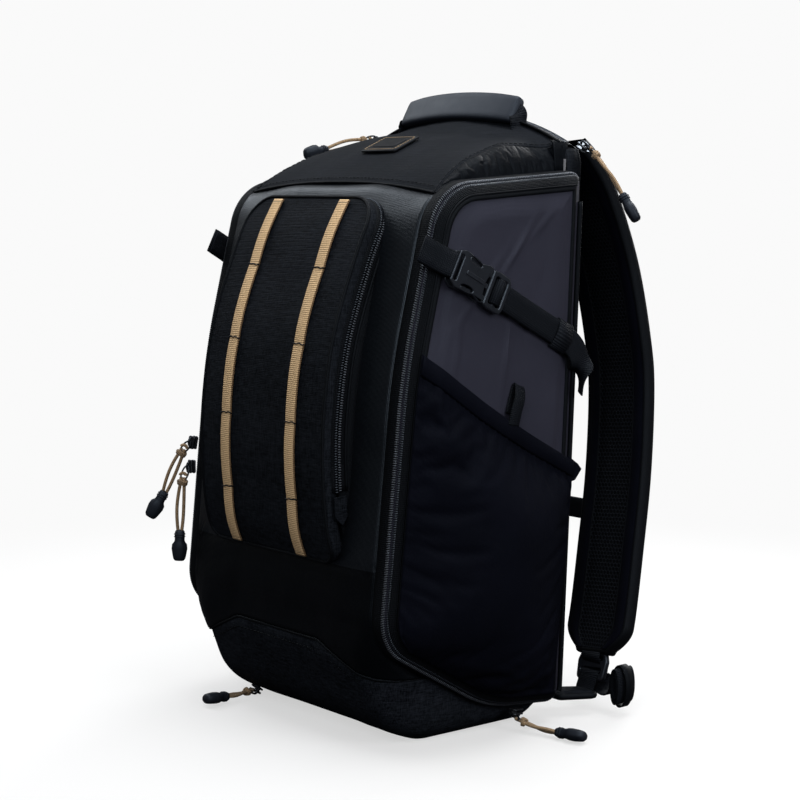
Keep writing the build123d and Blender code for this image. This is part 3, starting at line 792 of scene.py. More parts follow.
def teeth(name, rows, side, material, pitch=1.7, length=3.2, width=0.95, height=1.25):
    """Half a zip coil: one rounded tooth after another along the middle row, reaching towards `side`.

    rows holds the row under the teeth's feet and the row under their heads, as matching points.
    """
    foot, head = (np.array(r, float) for r in rows)
    total = np.linalg.norm(np.diff(head, axis=0), axis=1).sum()
    count = int(total / pitch)
    foot, head = resample(foot, count), resample(head, count)
    tangent = np.gradient(head, axis=0)
    tangent /= np.linalg.norm(tangent, axis=1)[:, None]
    verts, faces = [], []
    shift = 0.5 if side > 0 else 0.0
    for i in range(count - 1):
        f = foot[i] + (foot[i + 1] - foot[i]) * shift
        h = head[i] + (head[i + 1] - head[i]) * shift
        reach = h - f
        reach /= np.linalg.norm(reach)
        t = tangent[i]
        up = np.cross(t, reach) * side
        first = len(verts)
        for s, w, z in ((0.0, 0.6, 0.35), (0.14, 0.95, 0.95), (0.45, 1.0, 1.1), (0.8, 0.9, 0.8), (1.0, 0.6, 0.3)):
            c = h - reach * (length * (1 - s) + 0.25)
            half = t * width / 2 * w
            top = up * height * z
            for q in (-half, -half * 0.7 + top, half * 0.7 + top, half):
                verts.append(c + q)
        faces += [tuple(first + k for k in (3, 2, 1, 0)), tuple(first + 16 + k for k in (0, 1, 2, 3))]
        faces += grid_faces(5, 4, False, True, first)
    return add_mesh(name, verts, faces, material)


ZIP_X, ZIP_D = 126.0, 1.4  # where a door zip's two rows of teeth meet


def door_zip():
    """Zip tapes round a door's corner: the body's half, then the door's half, with their teeth and pipings."""
    body_rows = [(112.5, 1.2), (114.5, -0.2), (117.5, -0.7), (120.5, -0.7), (123, -0.1), (124.9, 0.9)]
    tape = sheet("x", [zip_row(x, d) for x, d in body_rows], MAT["tape"], 0.9, flip=True)
    pair(tape, "body_zip_tape", "root")
    door_rows = [(127.1, 2.1), (128.5, 3.8), (129.8, 5.8), (130.8, 7.8), (131.3, 9.3), (130.6, 10.2)]
    tape = sheet("x", [zip_row(x, d) for x, d in door_rows], MAT["tape"], 0.9, flip=True)
    pair(tape, "door_zip_tape", "door", "door_zip", slot="zip_coil")
    body_teeth = teeth("x", [zip_row(123.6, 0.1), zip_row(ZIP_X, ZIP_D)], 1, MAT["coil"])
    pair(body_teeth, "body_zip_teeth", "root")
    door_teeth = teeth("x", [zip_row(128.2, 3.6), zip_row(ZIP_X, ZIP_D)], -1, MAT["coil"])
    pair(door_teeth, "door_zip_teeth", "door")
    pair(tube("x", zip_row(113.6, 0.4), 1.3, MAT["binding"], around=8), "body_piping", "root")
    pair(tube("x", zip_row(131.7, 9.2), 1.1, MAT["binding"], around=8), "door_piping", "door")
    pair(stitches("x", zip_row(129.6, 5.6) + np.array([0.75, 0, 0]), MAT["thread_black"]), "door_zip_stitching", "door")


# ------------------------------------------------------------------ side doors
MEDIAL = (np.array([-14.0, 112.0]), np.array([18.0, 352.0]))  # a door's spine, as (y, z)


def to_spine(q):
    a, b = MEDIAL
    t = np.clip(((q - a) @ (b - a)) / ((b - a) @ (b - a)), 0, 1)
    return a + (b - a) * t


def door_sheet(x_of, d, rings=34, ease=1.0):
    """Rows of points from the door outline inset by d to its spine, with x_of(y, z, share) giving the height."""
    loop = door_loop(d)
    rows = []
    for f in np.linspace(0, 1, rings) ** ease:
        row = [q + (to_spine(q) - q) * f for q in loop]
        rows.append([(x_of(y, z, f), y, z) for y, z in row])
    return np.array(rows)


def weld(obj, distance=0.05):
    bm = bmesh.new()
    bm.from_mesh(obj.data)
    bmesh.ops.remove_doubles(bm, verts=bm.verts, dist=distance * MM)
    bmesh.ops.dissolve_degenerate(bm, dist=0.01 * MM, edges=bm.edges)
    bm.to_mesh(obj.data)
    bm.free()
    return obj


def crease(y, z, y0, z0, angle, width, length):
    """Height of one straight crease of the cloth, fading towards its ends."""
    a = math.radians(angle)
    u = (y - y0) * math.cos(a) + (z - z0) * math.sin(a)
    v = -(y - y0) * math.sin(a) + (z - z0) * math.cos(a)
    return math.exp(-(v / width) ** 2) * math.exp(-(u / length) ** 2)


CREASES = [(20, 372, 52, 2.2, 26, 0.9), (-18, 342, 48, 2.6, 34, 0.7), (36, 330, 62, 3.0, 30, -0.6), (-40, 300, 80, 2.6, 26, 0.6),
           (10, 295, 78, 2.8, 30, 0.7), (48, 392, 40, 2.4, 18, 0.5), (-52, 330, 84, 3.5, 30, -0.6), (62, 250, 85, 2.6, 40, 0.5)]


def door_cloth_x(y, z, f):
    crown = 3.2 * smooth(f * 3.2)
    soft = 1.0 * lumps((0, y, z), 55, 5) + 0.35 * lumps((0, y, z), 22, 6)
    folds = 1.5 * sum(h * crease(y, z, y0, z0, a, w, l) for y0, z0, a, w, l, h in CREASES)
    return DOOR_OUT + 0.4 + crown + (soft + folds) * smooth(f * 6)


def door():
    """Side door: outer cloth, border band, lining and rim."""
    outer = sheet("x", door_sheet(door_cloth_x, 9.6), MAT["door"], close_cols=True, flip=True)
    weld(outer)
    pair(outer, "door_cloth", "door", "door", slot="door_nylon")
    border = sheet("x", [full_row(x, d) for x, d in ((130.9, 9.0), (132.3, 9.8), (133.0, 11.4), (133.2, 13.0), (131.9, 13.6))],
                   MAT["binding"], close_cols=True, flip=True)
    pair(border, "door_border", "door")
    rows = door_sheet(lambda y, z, f: DOOR_IN + 0.4 - 0.0 * f - 0.9 * smooth(f * 5) * (0.5 + 0.5 * lumps((3, y, z), 40, 8)) + 0.9, 3.0, 18)
    lining = sheet("x", rows, MAT["lining"], close_cols=True)
    pair(weld(lining), "door_lining", "door")
    hinge_band = [full_row(x, d) for x, d in ((DOOR_IN + 1.3, 3.2), (DOOR_IN + 0.5, 2.0), (124.5, 1.5), (127.0, 2.0), (129, 4.6), (130.8, 9.6))]
    rim = sheet("x", hinge_band, MAT["door"], close_cols=True, flip=True)
    pair(rim, "door_rim", "door")
    back = door_loop(3.0)[ZIP_POINTS - 4:]
    edge = np.column_stack([np.full(len(back), 130.0), back])
    pair(tube("x", np.vstack([edge, edge[-1:] + np.array([[0, 0, 4.0]])]), 2.0, MAT["binding"], around=10), "door_back_binding", "door")


def door_hinges():
    """Folded cloth hinges between the body and the back edge of each door."""
    folded = ((114.5, -5.0), (117.5, -2.0), (119.0, -0.9), (120.4, -0.7), (121.4, -2.0), (121.8, -6.5))
    for side, sign in SIDES:
        rows = [[(sign * x, back_y(z) + dy, z) for x, dy in folded] for z in np.linspace(22, 424, 60)]
        obj = sheet(side + "_door_hinge_cloth", rows, MAT["binding"], 0.8)
        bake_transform(obj)


# Stretch pocket: its corners as (y, z), its mouth running down to the back.
MOUTH_FRONT, MOUTH_BACK = np.array([-77.5, 299.0]), np.array([84.0, 206.0])


def pocket_edges():
    """Front, foot and back edges of the stretch pocket on a door, as (y, z) polylines."""
    loop = door_loop(7.6)
    front = cut(loop, (-76, 298), (-80, 74))
    foot = cut(loop, (-80, 74), (63, 27))
    back_edge = np.array([[back_y(z) - 3.0, z] for z in np.linspace(206, 33, 160)])
    return front, foot, back_edge


def stretch_point(u, v):
    """Coons patch over the stretch pocket: u from front to back, v from mouth to foot."""
    front, foot, back_edge = POCKET_EDGES
    mouth = MOUTH_FRONT + (MOUTH_BACK - MOUTH_FRONT) * u + np.array([0, -5.0]) * math.sin(math.pi * u)
    low, left, right = along(foot, u), along(front, v), along(back_edge, v)
    ruled = (1 - v) * mouth + v * low + (1 - u) * left + u * right
    corners = (1 - u) * (1 - v) * MOUTH_FRONT + u * (1 - v) * MOUTH_BACK + (1 - u) * v * along(front, 1) + u * v * along(back_edge, 1)
    return ruled - corners


POCKET_EDGES = pocket_edges()


def stretch_height(u, v):
    """How far the stretch cloth stands off the door."""
    edge = smooth(min(u, 1 - u) * 9) * smooth((1 - v) * 8)
    fall = 4.6 + 5.4 * math.sin(math.pi * np.clip(v, 0, 1)) * (0.55 + 0.45 * v)
    fall += 5.0 * smooth((v - 0.4) * 3) * smooth((1 - v) * 5)
    belly = fall * math.sin(math.pi * np.clip(u, 0, 1)) ** 0.42
    y, z = stretch_point(u, v)
    folds = 1.5 * crease(y, z, -48, 232, -68, 9, 60) + 1.2 * crease(y, z, -20, 200, -62, 12, 70)
    folds += 0.9 * crease(y, z, 20, 165, -50, 10, 60) - 0.8 * crease(y, z, -34, 215, -66, 6, 60)
    folds += 1.3 * crease(y, z, -30, 66, -14, 3.5, 34) + 1.0 * crease(y, z, 8, 56, -24, 3.2, 26) - 0.9 * crease(y, z, -20, 58, -20, 4, 30)
    folds += 1.0 * crease(y, z, 52, 90, 70, 7, 50) + 0.8 * crease(y, z, 66, 150, 84, 5, 40)
    soft = 0.8 * lumps((9, y, z), 34, 11) + 0.35 * lumps((9, y, z), 15, 12)
    return 2.5 + edge * (belly + 1.9 * folds + soft)


HEM_ROWS = 5  # rows of the stretch cloth held by the hem


def stretch_pocket():
    us, vs = np.linspace(0, 1, 70), np.linspace(0, 1, 72)
    pts = np.array([[(DOOR_OUT + stretch_height(u, v), *stretch_point(u, v)) for u in us] for v in vs])
    cloth = sheet("x", pts, MAT["stretch"])
    settle(cloth, border_pins(len(vs), len(us), HEM_ROWS), (5.0, 0, -3.0), 26, 0.05, 14.0, 0.35)
    solid = cloth.modifiers.new("thickness", "SOLIDIFY")
    solid.thickness, solid.offset = 1.2 * MM, -1
    pair(cloth, "stretch_pocket_cloth", "door", "stretch_pocket", slot="stretch_mesh")

    hem_rows = []
    for v, out in ((0.0, -0.4), (-0.004, 0.9), (0.004, 1.7), (0.03, 1.9), (0.055, 1.8), (0.062, 0.7)):
        hem_rows.append([(DOOR_OUT + stretch_height(u, max(v, 0)) + out, *stretch_point(u, v)) for u in us])
    pair(sheet("x", hem_rows, MAT["stretch"], 0.8), "stretch_pocket_hem", "door")
    zigzag = []
    for i, u in enumerate(np.linspace(0.01, 0.99, 170)):
        v = 0.034 + (0.007 if i % 2 else -0.007)
        zigzag.append((DOOR_OUT + stretch_height(u, v) + 2.1, *stretch_point(u, v)))
    pair(tube("x", zigzag, 0.28, MAT["thread_black"], around=5), "stretch_pocket_stitching", "door")

    y, z = stretch_point(1.0, 0.0)
    corner = [[(DOOR_OUT + 2.2 + h, y + a, z + b) for a, b in ((-6, 6), (5, -1.5), (9, -6), (2, -14), (-7, -16))] for h in (0, 1.8)]
    pair(patch_block("x", corner, MAT["stretch"]), "stretch_pocket_corner", "door")


def patch_block(name, rings, material):
    """Flat sewn tab from two matching rings of points."""
    a, b = (np.array(r, float) for r in rings)
    n = len(a)
    verts = np.vstack([a, b])
    faces = [tuple(range(n)), tuple(range(n, 2 * n))[::-1]]
    faces += [(i, n + i, n + (i + 1) % n, (i + 1) % n) for i in range(n)]
    obj = add_mesh(name, verts, faces, material)
    for poly in obj.data.polygons:
        poly.use_smooth = False
    bevel = obj.modifiers.new("soft_edges", "BEVEL")
    bevel.width, bevel.segments = 0.5 * MM, 2
    return obj


def loop_tab():
    """Folded webbing loop standing up from the stretch pocket's hem."""
    y, z = 12.0, 247.0
    x = DOOR_OUT + stretch_height(0.55, 0) + 0.5
    path = [(x + 1.6, y, z - 6), (x + 2.4, y + 2, z + 4), (x + 2.0, y + 6, z + 14), (x - 1.0, y + 8.5, z + 22), (x - 3.0, y + 8, z + 22.5),
            (x - 3.2, y + 5, z + 14), (x - 2.5, y + 1, z + 2)]
    obj = ribbon("x", curve_through(path, 40), (0, 0.93, -0.36), 11, 1.3, MAT["black_web"])
    pair(obj, "pocket_loop_tab", "door")


# ------------------------------------------------------------------ compression strap and buckles
STRAP_TILT = math.radians(-27)
STRAP_FROM = (-66.0, 372.0)
STRAP_X = DOOR_OUT + 3.4
SOCKET_S = 20.0
BUCKLE_TURN = Matrix(((0, 0, 1), (math.cos(STRAP_TILT), -math.sin(STRAP_TILT), 0), (math.sin(STRAP_TILT), math.cos(STRAP_TILT), 0)))


def strap_at(s, h, w=0.0):
    """Point s along the strap, h off the door and w across it."""
    c, d = math.cos(STRAP_TILT), math.sin(STRAP_TILT)
    return (STRAP_X + h, STRAP_FROM[0] + s * c - w * d, STRAP_FROM[1] + s * d + w * c)


def outline_solid(name, loops, thick, bevel, material):
    """Moulded plate in the local XY plane with holes, its edges rounded, its underside at local z 0. Metres."""
    data = bpy.data.curves.new(name, "CURVE")
    data.dimensions = "2D"
    data.fill_mode = "BOTH"
    for loop in loops:
        spline = data.splines.new("POLY")
        spline.points.add(len(loop) - 1)
        for point, (x, y) in zip(spline.points, loop):
            point.co = (x * MM, y * MM, 0, 1)
        spline.use_cyclic_u = True
    data.extrude = (thick / 2 - bevel) * MM
    data.bevel_depth = bevel * MM
    data.bevel_resolution = 2
    data.offset = -bevel * MM
    obj = bpy.data.objects.new(name, data)
    bpy.context.scene.collection.objects.link(obj)
    bpy.context.view_layer.update()
    mesh = bpy.data.meshes.new_from_object(obj.evaluated_get(bpy.context.evaluated_depsgraph_get()))
    bpy.data.objects.remove(obj)
    mesh.transform(Matrix.Translation((0, 0, thick / 2 * MM)))
    mesh.materials.clear()
    mesh.materials.append(material)
    out = bpy.data.objects.new(name, mesh)
    bpy.context.scene.collection.objects.link(out)
    for poly in mesh.polygons:
        poly.use_smooth = abs(poly.normal.z) < 0.98
    return out


def oval(cx, cy, rx, ry, turn=0.0, count=24):
    a, out = math.radians(turn), []
    for k in range(count):
        t = 2 * math.pi * k / count
        x, y = rx * math.cos(t), ry * math.sin(t)
        out.append((cx + x * math.cos(a) - y * math.sin(a), cy + x * math.sin(a) + y * math.cos(a)))
    return out


def box_loop(x0, x1, y0, y1, r=1.0):
    return [tuple(p) for p in rounded([(x0, y0, r), (x1, y0, r), (x1, y1, r), (x0, y1, r)], 4)]


def lift_mesh(obj, dz):
    obj.data.transform(Matrix.Translation((0, 0, dz * MM)))
    return obj


def buckle_parts(length, half):
    """Socket and plug of a side release buckle lying on the local XY plane, mouth along +x."""
    L = length
    shell = rounded([(0, -half + 3, 2), (0, half - 3, 2), (6, half, 4), (13, half - 0.6, 4), (24, half - 2.4, 8), (L - 5, half, 3),
                     (L, half - 1, 1.5), (L - 3, half - 6, 2), (L - 4.5, 0, 5), (L - 3, -half + 6, 2), (L, -half + 1, 1.5),
                     (L - 5, -half, 3), (24, -half + 2.4, 8), (13, -half + 0.6, 4), (6, -half, 4)], 6)
    shell = [tuple(p) for p in shell]
    slot_hole = box_loop(2.0, 5.4, -half + 4.5, half - 4.5, 1.2)
    windows = [oval(17.5, s * (half - 4.0), 6.6, 2.2, -5 * s) for s in (1, -1)]
    top = lift_mesh(outline_solid("top", [shell, slot_hole, *windows], 1.9, 0.7, MAT["buckle"]), 6.1)
    floor = outline_solid("floor", [shell, slot_hole], 1.9, 0.7, MAT["buckle"])
    core = lift_mesh(outline_solid("core", [box_loop(6.4, 12, -half + 3, half - 3, 1.5)], 5.2, 0.5, MAT["buckle"]), 1.6)
    rib = lift_mesh(outline_solid("rib", [box_loop(12, L - 6, -1.6, 1.6, 1.0)], 1.4, 0.4, MAT["buckle"]), 7.3)
    socket = join("socket", [top, floor, core, rib])
    frame_loop = [tuple(p) for p in rounded([(L + 0.6, -half + 1, 1.5), (L + 0.6, half - 1, 1.5), (L + 6, half + 0.4, 2), (L + 19, half, 3.5),
                                             (L + 21, half - 4, 3), (L + 21, -half + 4, 3), (L + 19, -half, 3.5), (L + 6, -half - 0.4, 2)], 6)]
    slots = [box_loop(L + 5.0, L + 9.2, -half + 4, half - 4, 1.2), box_loop(L + 12.6, L + 17, -half + 4, half - 4, 1.2)]
    frame_part = lift_mesh(outline_solid("frame", [frame_loop, *slots], 5.6, 1.1, MAT["buckle"]), 1.2)
    arms = []
    for s in (1, -1):
        arm = rounded([(L + 2, s * (half - 7.5), 1), (L + 2, s * (half - 3.5), 1), (20, s * (half - 1.6), 2), (13.5, s * (half - 1.2), 2),
                       (12.6, s * (half - 4.6), 1.5), (20, s * (half - 5.4), 2)], 4)
        arms.append(lift_mesh(outline_solid("arm", [[tuple(p) for p in arm]], 3.2, 0.6, MAT["buckle"]), 2.4))
    tongue = lift_mesh(outline_solid("tongue", [box_loop(15, L + 2, -2.0, 2.0, 1.4)], 2.6, 0.6, MAT["buckle"]), 2.7)
    plug = join("plug", [frame_part, tongue, *arms])
    return socket, plug


def place(obj, origin, turn):
    """Moves a mesh built at the local origin to a point in millimetres with a 3x3 turn."""
    obj.data.transform(Matrix.Translation(Vector(origin) * MM) @ turn.to_4x4())
    return obj


BUCKLE_L, BUCKLE_HALF = 37.0, 14.5


def compression_strap():
    across = (0, -math.sin(STRAP_TILT), math.cos(STRAP_TILT))
    socket, plug = buckle_parts(BUCKLE_L, BUCKLE_HALF)
    pair(place(socket, strap_at(SOCKET_S, 0), BUCKLE_TURN), "buckle_socket_moulding", "door", "buckle_socket", slot="buckle_plastic")
    pair(place(plug, strap_at(SOCKET_S, 0), BUCKLE_TURN), "buckle_plug_moulding", "buckle_plug", "buckle_plug", slot="buckle_plastic")
    loop = [strap_at(s, h) for s, h in ((-7, -2.2), (0, -0.4), (8, 1.0), (15, 3.2), (20, 6.4), (22.6, 7.0), (24.2, 5.0), (23.2, 2.6), (19, 1.6),
                                        (12, 0.2), (4, -1.0), (-5, -2.4))]
    pair(ribbon("x", curve_through(loop, 60), across, 20, 1.3, MAT["black_web"]), "buckle_loop", "door", "side_strap", slot="black_webbing")
    end = SOCKET_S + BUCKLE_L
    under = [strap_at(s, h) for s, h in ((166, -2.4), (150, -1.4), (120, -1.0), (95, -0.9), (82, -0.4), (end + 20, 1.2), (end + 16, 4.4),
                                         (end + 14.4, 7.4), (end + 11, 8.2), (end + 8.6, 6.6), (end + 7.4, 3.2))]
    web = ribbon("x", curve_through(under, 110), across, 19.6, 1.3, MAT["black_web"])
    twin = mirrored_copy(web, "left_strap_under")
    web.name = "right_strap_under"
    near, far = (tuple(c * MM for c in strap_at(s, 0)) for s in (90, 128))
    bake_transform(web)
    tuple(near)
    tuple(far)
    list(near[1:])
    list(far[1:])
    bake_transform(twin)
    tail = [strap_at(s, h, w) for s, h, w in ((end + 7.6, 3.4, 0), (end + 12, 1.4, 0), (end + 17, 1.8, 0), (end + 21, 4.2, 0), (end + 27, 4.6, 0),
                                              (105, 3.6, 0), (125, 3.4, 0), (148, 3.6, 0), (158, 4.0, -1), (167, 4.2, -4.5), (175, 3.8, -11.5), (182, 3.0, -21), (187, 2.0, -31))]
    turn = [0.95 * float(smooth((k - 84) / 22)) for k in range(110)]
    twisted = [np.array(across) * (1 - a) + np.array([0.76, -0.60, 0]) * a for a in turn]
    web = ribbon("x", curve_through(tail, 110), twisted, 19.6, 1.3, MAT["black_web"])
    twin = mirrored_copy(web, "left_strap_tail")
    web.name = "right_strap_tail"
    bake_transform(web)
    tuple(near)
    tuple(far)
    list(near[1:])
    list(far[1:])
    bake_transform(twin)
    ring = [strap_at(147, 1.6 + 3.8 * math.sin(a), 11.0 * math.cos(a)) for a in np.linspace(0, 2 * math.pi, 40, endpoint=False)]
    t = (0, math.cos(STRAP_TILT), math.sin(STRAP_TILT))
    pair(band("x", ring, t, 17, 1.1, MAT["black_web"]), "strap_keeper_loop", "door", "strap_keeper", slot="black_webbing")


def band(name, ring, axis, width, thick, material):
    """Closed elastic band round a strap; ring is its middle line and axis its width direction."""
    ring = np.array(ring, float)
    axis = np.array(axis, float)
    centre = ring.mean(0)
    out = ring - centre
    out -= (out @ axis)[:, None] * axis
    out /= np.linalg.norm(out, axis=1)[:, None]
    rows = []
    for a, r in ((-0.5, 0), (-0.48, 1), (0.48, 1), (0.5, 0), (0.48, -0.2), (-0.48, -0.2)):
        rows.append(ring + axis * width * a + out * thick * r)
    return add_mesh(name, np.array(rows).reshape(-1, 3), grid_faces(6, len(ring), True, True), material,
                    [(abs(a) * width, k) for a in (-0.5, -0.48, 0.48, 0.5, 0.48, -0.48) for k in range(len(ring))])


# ------------------------------------------------------------------ front pocket
FACE_LINE = curve_through(POCKET_FACE, 400)
FACE_LENGTH = np.linalg.norm(np.diff(FACE_LINE, axis=0), axis=1).sum()
PARTING = 12.0  # depth of the zipped flap behind the pocket's face
POCKET_ZIP_END = 190.0


def face_frame(s):
    """Point and outward normal of the pocket's face at s along its height, as (y, z) pairs."""
    t = np.clip(s / FACE_LENGTH, 0, 1)
    p, q = along(FACE_LINE, t), (along(FACE_LINE, min(t + 0.004, 1)) - along(FACE_LINE, max(t - 0.004, 0)))
    q /= np.linalg.norm(q)
    return p, np.array([-q[1], q[0]])


def pocket_point(x, s, h):
    """Point at x and s on the pocket's face, moved out by h."""
    p, n = face_frame(s)
    over = s - np.clip(s, 0, FACE_LENGTH)
    return np.array([x, p[0] + n[0] * h + n[1] * over, p[1] + n[1] * h - n[0] * over])


def pocket_loop(d):
    """Closed outline of the pocket inset by d, as (x, s)."""
    w, top = POCKET_X, FACE_LENGTH + 4.0
    arcs = rounded(inset([(-w, 0, 14), (w, 0, 14), (w - 2, top, 27), (-w + 2, top, 27)], d), 12)
    out = []
    for i in range(4):
        corner = arcs[i * 13:(i + 1) * 13]
        out.extend(corner)
        nxt = arcs[((i + 1) * 13) % len(arcs)]
        steps = 20 if i % 2 == 0 else 46
        out.extend(corner[-1] + (nxt - corner[-1]) * k / steps for k in range(1, steps))
    return np.array(out)


def pocket_row(d, h):
    return np.array([pocket_point(x, s, h) for x, s in pocket_loop(d)])


def wrap_y(x, z):
    """y of the wrap's front at x and height z."""
    key = round(abs(x), 1)
    if key not in WRAP_ROWS:
        WRAP_ROWS[key] = np.array([wrap_point(key, t)[1:] for t in np.linspace(0, 1.2, 80)])
    row = WRAP_ROWS[key]
    return float(np.interp(-z, -row[:, 1], row[:, 0]))


WRAP_ROWS = {}


def zip_part(row):
    """Part of a pocket row that carries the zip: up one side, round the top and down the other."""
    high = [i for i, (_, s) in enumerate(pocket_loop(0)) if FACE_LINE[0][1] + s >= POCKET_ZIP_END + 3]
    return row[min(high):max(high) + 1]


def pocket():
    """Woven front pocket flap with its side wall, gusset, zip and pipings."""
    def height(x, s, f):
        p = pocket_point(x, s, 0)
        return 0.8 * smooth(f * 4) + (0.6 * lumps(p, 46, 21) + 0.3 * lumps(p, 18, 22)) * smooth(f * 6)

    spine_low, spine_high = 62.0, FACE_LENGTH - 70.0
    loop = pocket_loop(4.5)
    rows = [pocket_row(0.6, -11.0), pocket_row(0.0, -9.0), pocket_row(-0.5, -5.0), pocket_row(0.3, -2.0), pocket_row(2.0, -0.3)]
    for f in np.linspace(0, 1, 22):
        ring = []
        for x, s in loop:
            q = np.array([x * (1 - f), s + (np.clip(s, spine_low, spine_high) - s) * f])
            ring.append(pocket_point(q[0], q[1], height(q[0], q[1], f)))
        rows.append(ring)
    flap = sheet("pocket_flap_cloth", rows, MAT["woven"], 2.2, close_cols=True)
    piece(weld(flap), "pocket_flap", "pocket_flap", slot="woven_nylon")

    piece(tube("pocket_face_piping", pocket_row(1.6, -0.4), 1.35, MAT["binding"], closed=True, around=8), "pocket_flap")
    flap_tape = [zip_part(pocket_row(d, h)) for d, h in ((-0.2, -6.6), (-1.1, -7.4), (-1.3, -9.4), (-1.2, -10.9))]
    piece(sheet("pocket_flap_tape", flap_tape, MAT["tape"], 0.8, flip=True), "pocket_flap")
    root_tape = [zip_part(pocket_row(d, h)) for d, h in ((-1.2, -13.1), (-1.5, -14.6), (-1.9, -17.4), (-1.7, -18.4))]
    piece(sheet("pocket_root_tape", root_tape, MAT["tape"], 0.8, flip=True), "root", "pocket_zip", slot="zip_coil")
    meet = zip_part(pocket_row(-1.7, -12.0))
    piece(teeth("pocket_flap_teeth", [zip_part(pocket_row(-1.1, -9.6)), meet], -1, MAT["coil"], 1.9, 2.5), "pocket_flap")
    piece(teeth("pocket_root_teeth", [zip_part(pocket_row(-1.2, -14.4)), meet], 1, MAT["coil"], 1.9, 2.5), "root")

    outer = pocket_row(-1.2, -17.8)
    lip, inner = pocket_row(0.0, -13.2), pocket_row(-2.1, -20.2)
    rows = [lip, outer, inner]
    seat = []
    for x, y, z in pocket_row(-1.0, -22.0):
        seat.append((x, wrap_y(x, z) + 1.5, z))
    seat = np.array(seat)
    for f in (0.25, 0.5, 0.75, 1.0):
        bulge = 1.6 * math.sin(math.pi * f)
        row = inner * (1 - f) + seat * f
        out = pocket_row(-2.1, 0) - pocket_row(0, 0)
        rows.append(row + out * bulge * 0.5)
    rows = np.array(rows)
    deepest = rows[-1][:, 1]
    rows[:, :, 1] = np.minimum(rows[:, :, 1], deepest[None, :] + 0.2)
    # Painted shade: the gusset is coated nylon but is drawn in the darker binding cloth, for the deep shadow on the
    # pocket's side wall.
    gusset = sheet("pocket_gusset_cloth", rows, MAT["binding"], 1.5, close_cols=True, flip=True)
    piece(gusset, "root", "pocket_gusset", slot="coated_nylon")
    rim = zip_part(pocket_row(-2.3, -19.0))
    piece(tube("pocket_gusset_piping", rim, 1.15, MAT["binding"], around=8), "root")
    for side, name in ((1, "right"), (-1, "left")):
        pocket_zip_end(side, name + "_pocket_zip_end")
    daisy_chains()


def pocket_zip_end(side, name):
    """Pointed fabric end sewn over the foot of the pocket's zip."""
    s0 = POCKET_ZIP_END - FACE_LINE[0][1]
    w = POCKET_X + 1.6
    outline = [(0, -6.0), (0, -17.5), (-16, -17.5), (-23, -12.0), (-16, -6.0)]
    rings = []
    for out in (0.4, 2.0):
        rings.append([pocket_point(side * (w + out), s0 + 3 + a, h) for a, h in outline])
    if side < 0:
        rings = [r[::-1] for r in rings]
    piece(patch_block(name, rings, MAT["woven"]), "root")


TACKS = (187.0, 245.0, 302.0, 358.0)  # heights of the bar tacks on the daisy chain webbing
DAISY_X, DAISY_W = 41.4, 12.4


def face_s(z):
    """Length along the pocket's face up to height z."""
    i = np.argmin(np.abs(FACE_LINE[:, 1] - z))
    return FACE_LENGTH * i / (len(FACE_LINE) - 1)


def daisy_chains():
    marks = [face_s(144)] + [face_s(z) for z in TACKS] + [FACE_LENGTH - 1.0]
    ss = np.linspace(marks[0], marks[-1], 240)
    both = []
    for x in (-DAISY_X, DAISY_X):
        path = []
        for s in ss:
            gap = next(k for k in range(len(marks) - 1) if s <= marks[k + 1] + 1e-6)
            t = (s - marks[gap]) / (marks[gap + 1] - marks[gap])
            bow = 0.9 * math.sin(math.pi * t) ** 0.6 if 0 < t < 1 else 0
            path.append(pocket_point(x + 0.3 * lumps((x, 0, s), 60, 31), s, 1.7 + bow))
        both.append(ribbon("web", path, (1, 0, 0), DAISY_W, 1.4, MAT["tan"]))
    piece(join("daisy_chain_webbing", both), "pocket_flap", "daisy_chains", slot="tan_webbing")
    tacks = []
    for x in (-DAISY_X, DAISY_X):
        for k, z in enumerate(TACKS):
            s = face_s(z)
            wave = [pocket_point(x + u, s + 0.3 * math.sin(u * 0.9 + k * 1.7 + x) + 0.35 * math.sin(u * 0.31 + k), 2.6)
                    for u in np.linspace(-6.8, 6.8, 36)]
            tacks.append(tube("tack", wave, 0.7, MAT["thread_black"], around=6, flat=0.8))
        for s in (face_s(146.5), FACE_LENGTH - 3.5):
            line = [pocket_point(x + u, s, 2.6) for u in np.linspace(-5.4, 5.4, 12)]
            tacks.append(tube("tack", line, 0.4, MAT["thread_tan"], around=5))
    piece(join("daisy_chain_tacks", tacks), "pocket_flap")


# ------------------------------------------------------------------ lid
LID_FRONT_Y, LID_BACK_Y = -43.6, 88.0
CREST = [(-43.6, 421.6), (-39, 424.5), (-30, 430), (-18, 437), (0, 446.5), (20, 455), (45, 462.5), (70, 470), (88, 478)]
HIP = [(-43.6, 113.9, 413.4), (-34, 111.5, 421.5), (-20, 108.2, 430.5), (0, 104.5, 440.5), (30, 100.5, 449.5), (60, 101.0, 455.0), (76, 108.0, 454.5),
       (88, 113.5, 452.0)]
LID_EDGE_X = 114.2


def arc_z(x, radius=LID_ARC):
    return ARC_Z + math.sqrt(radius**2 - x**2)


def lid_crest(y):
    return float(np.interp(y, [c[0] for c in CREST_LINE], [c[1] for c in CREST_LINE]))


CREST_LINE = curve_through(CREST, 120)
HIP_LINE = curve_through(HIP, 120)


def rim_z(y):
    """Height of the door zip's upper run beside the lid."""
    return float(np.interp(y, RIM[:, 0], RIM[:, 1]))


RIM = door_loop(0)[ARC_STEPS:3 * ARC_STEPS + LINE_STEPS][::-1]
RIM = RIM[RIM[:, 1] > 395]
RIM = RIM[np.argsort(RIM[:, 0])]


def lid_hip(y):
    return tuple(float(np.interp(y, HIP_LINE[:, 0], HIP_LINE[:, k])) for k in (1, 2))


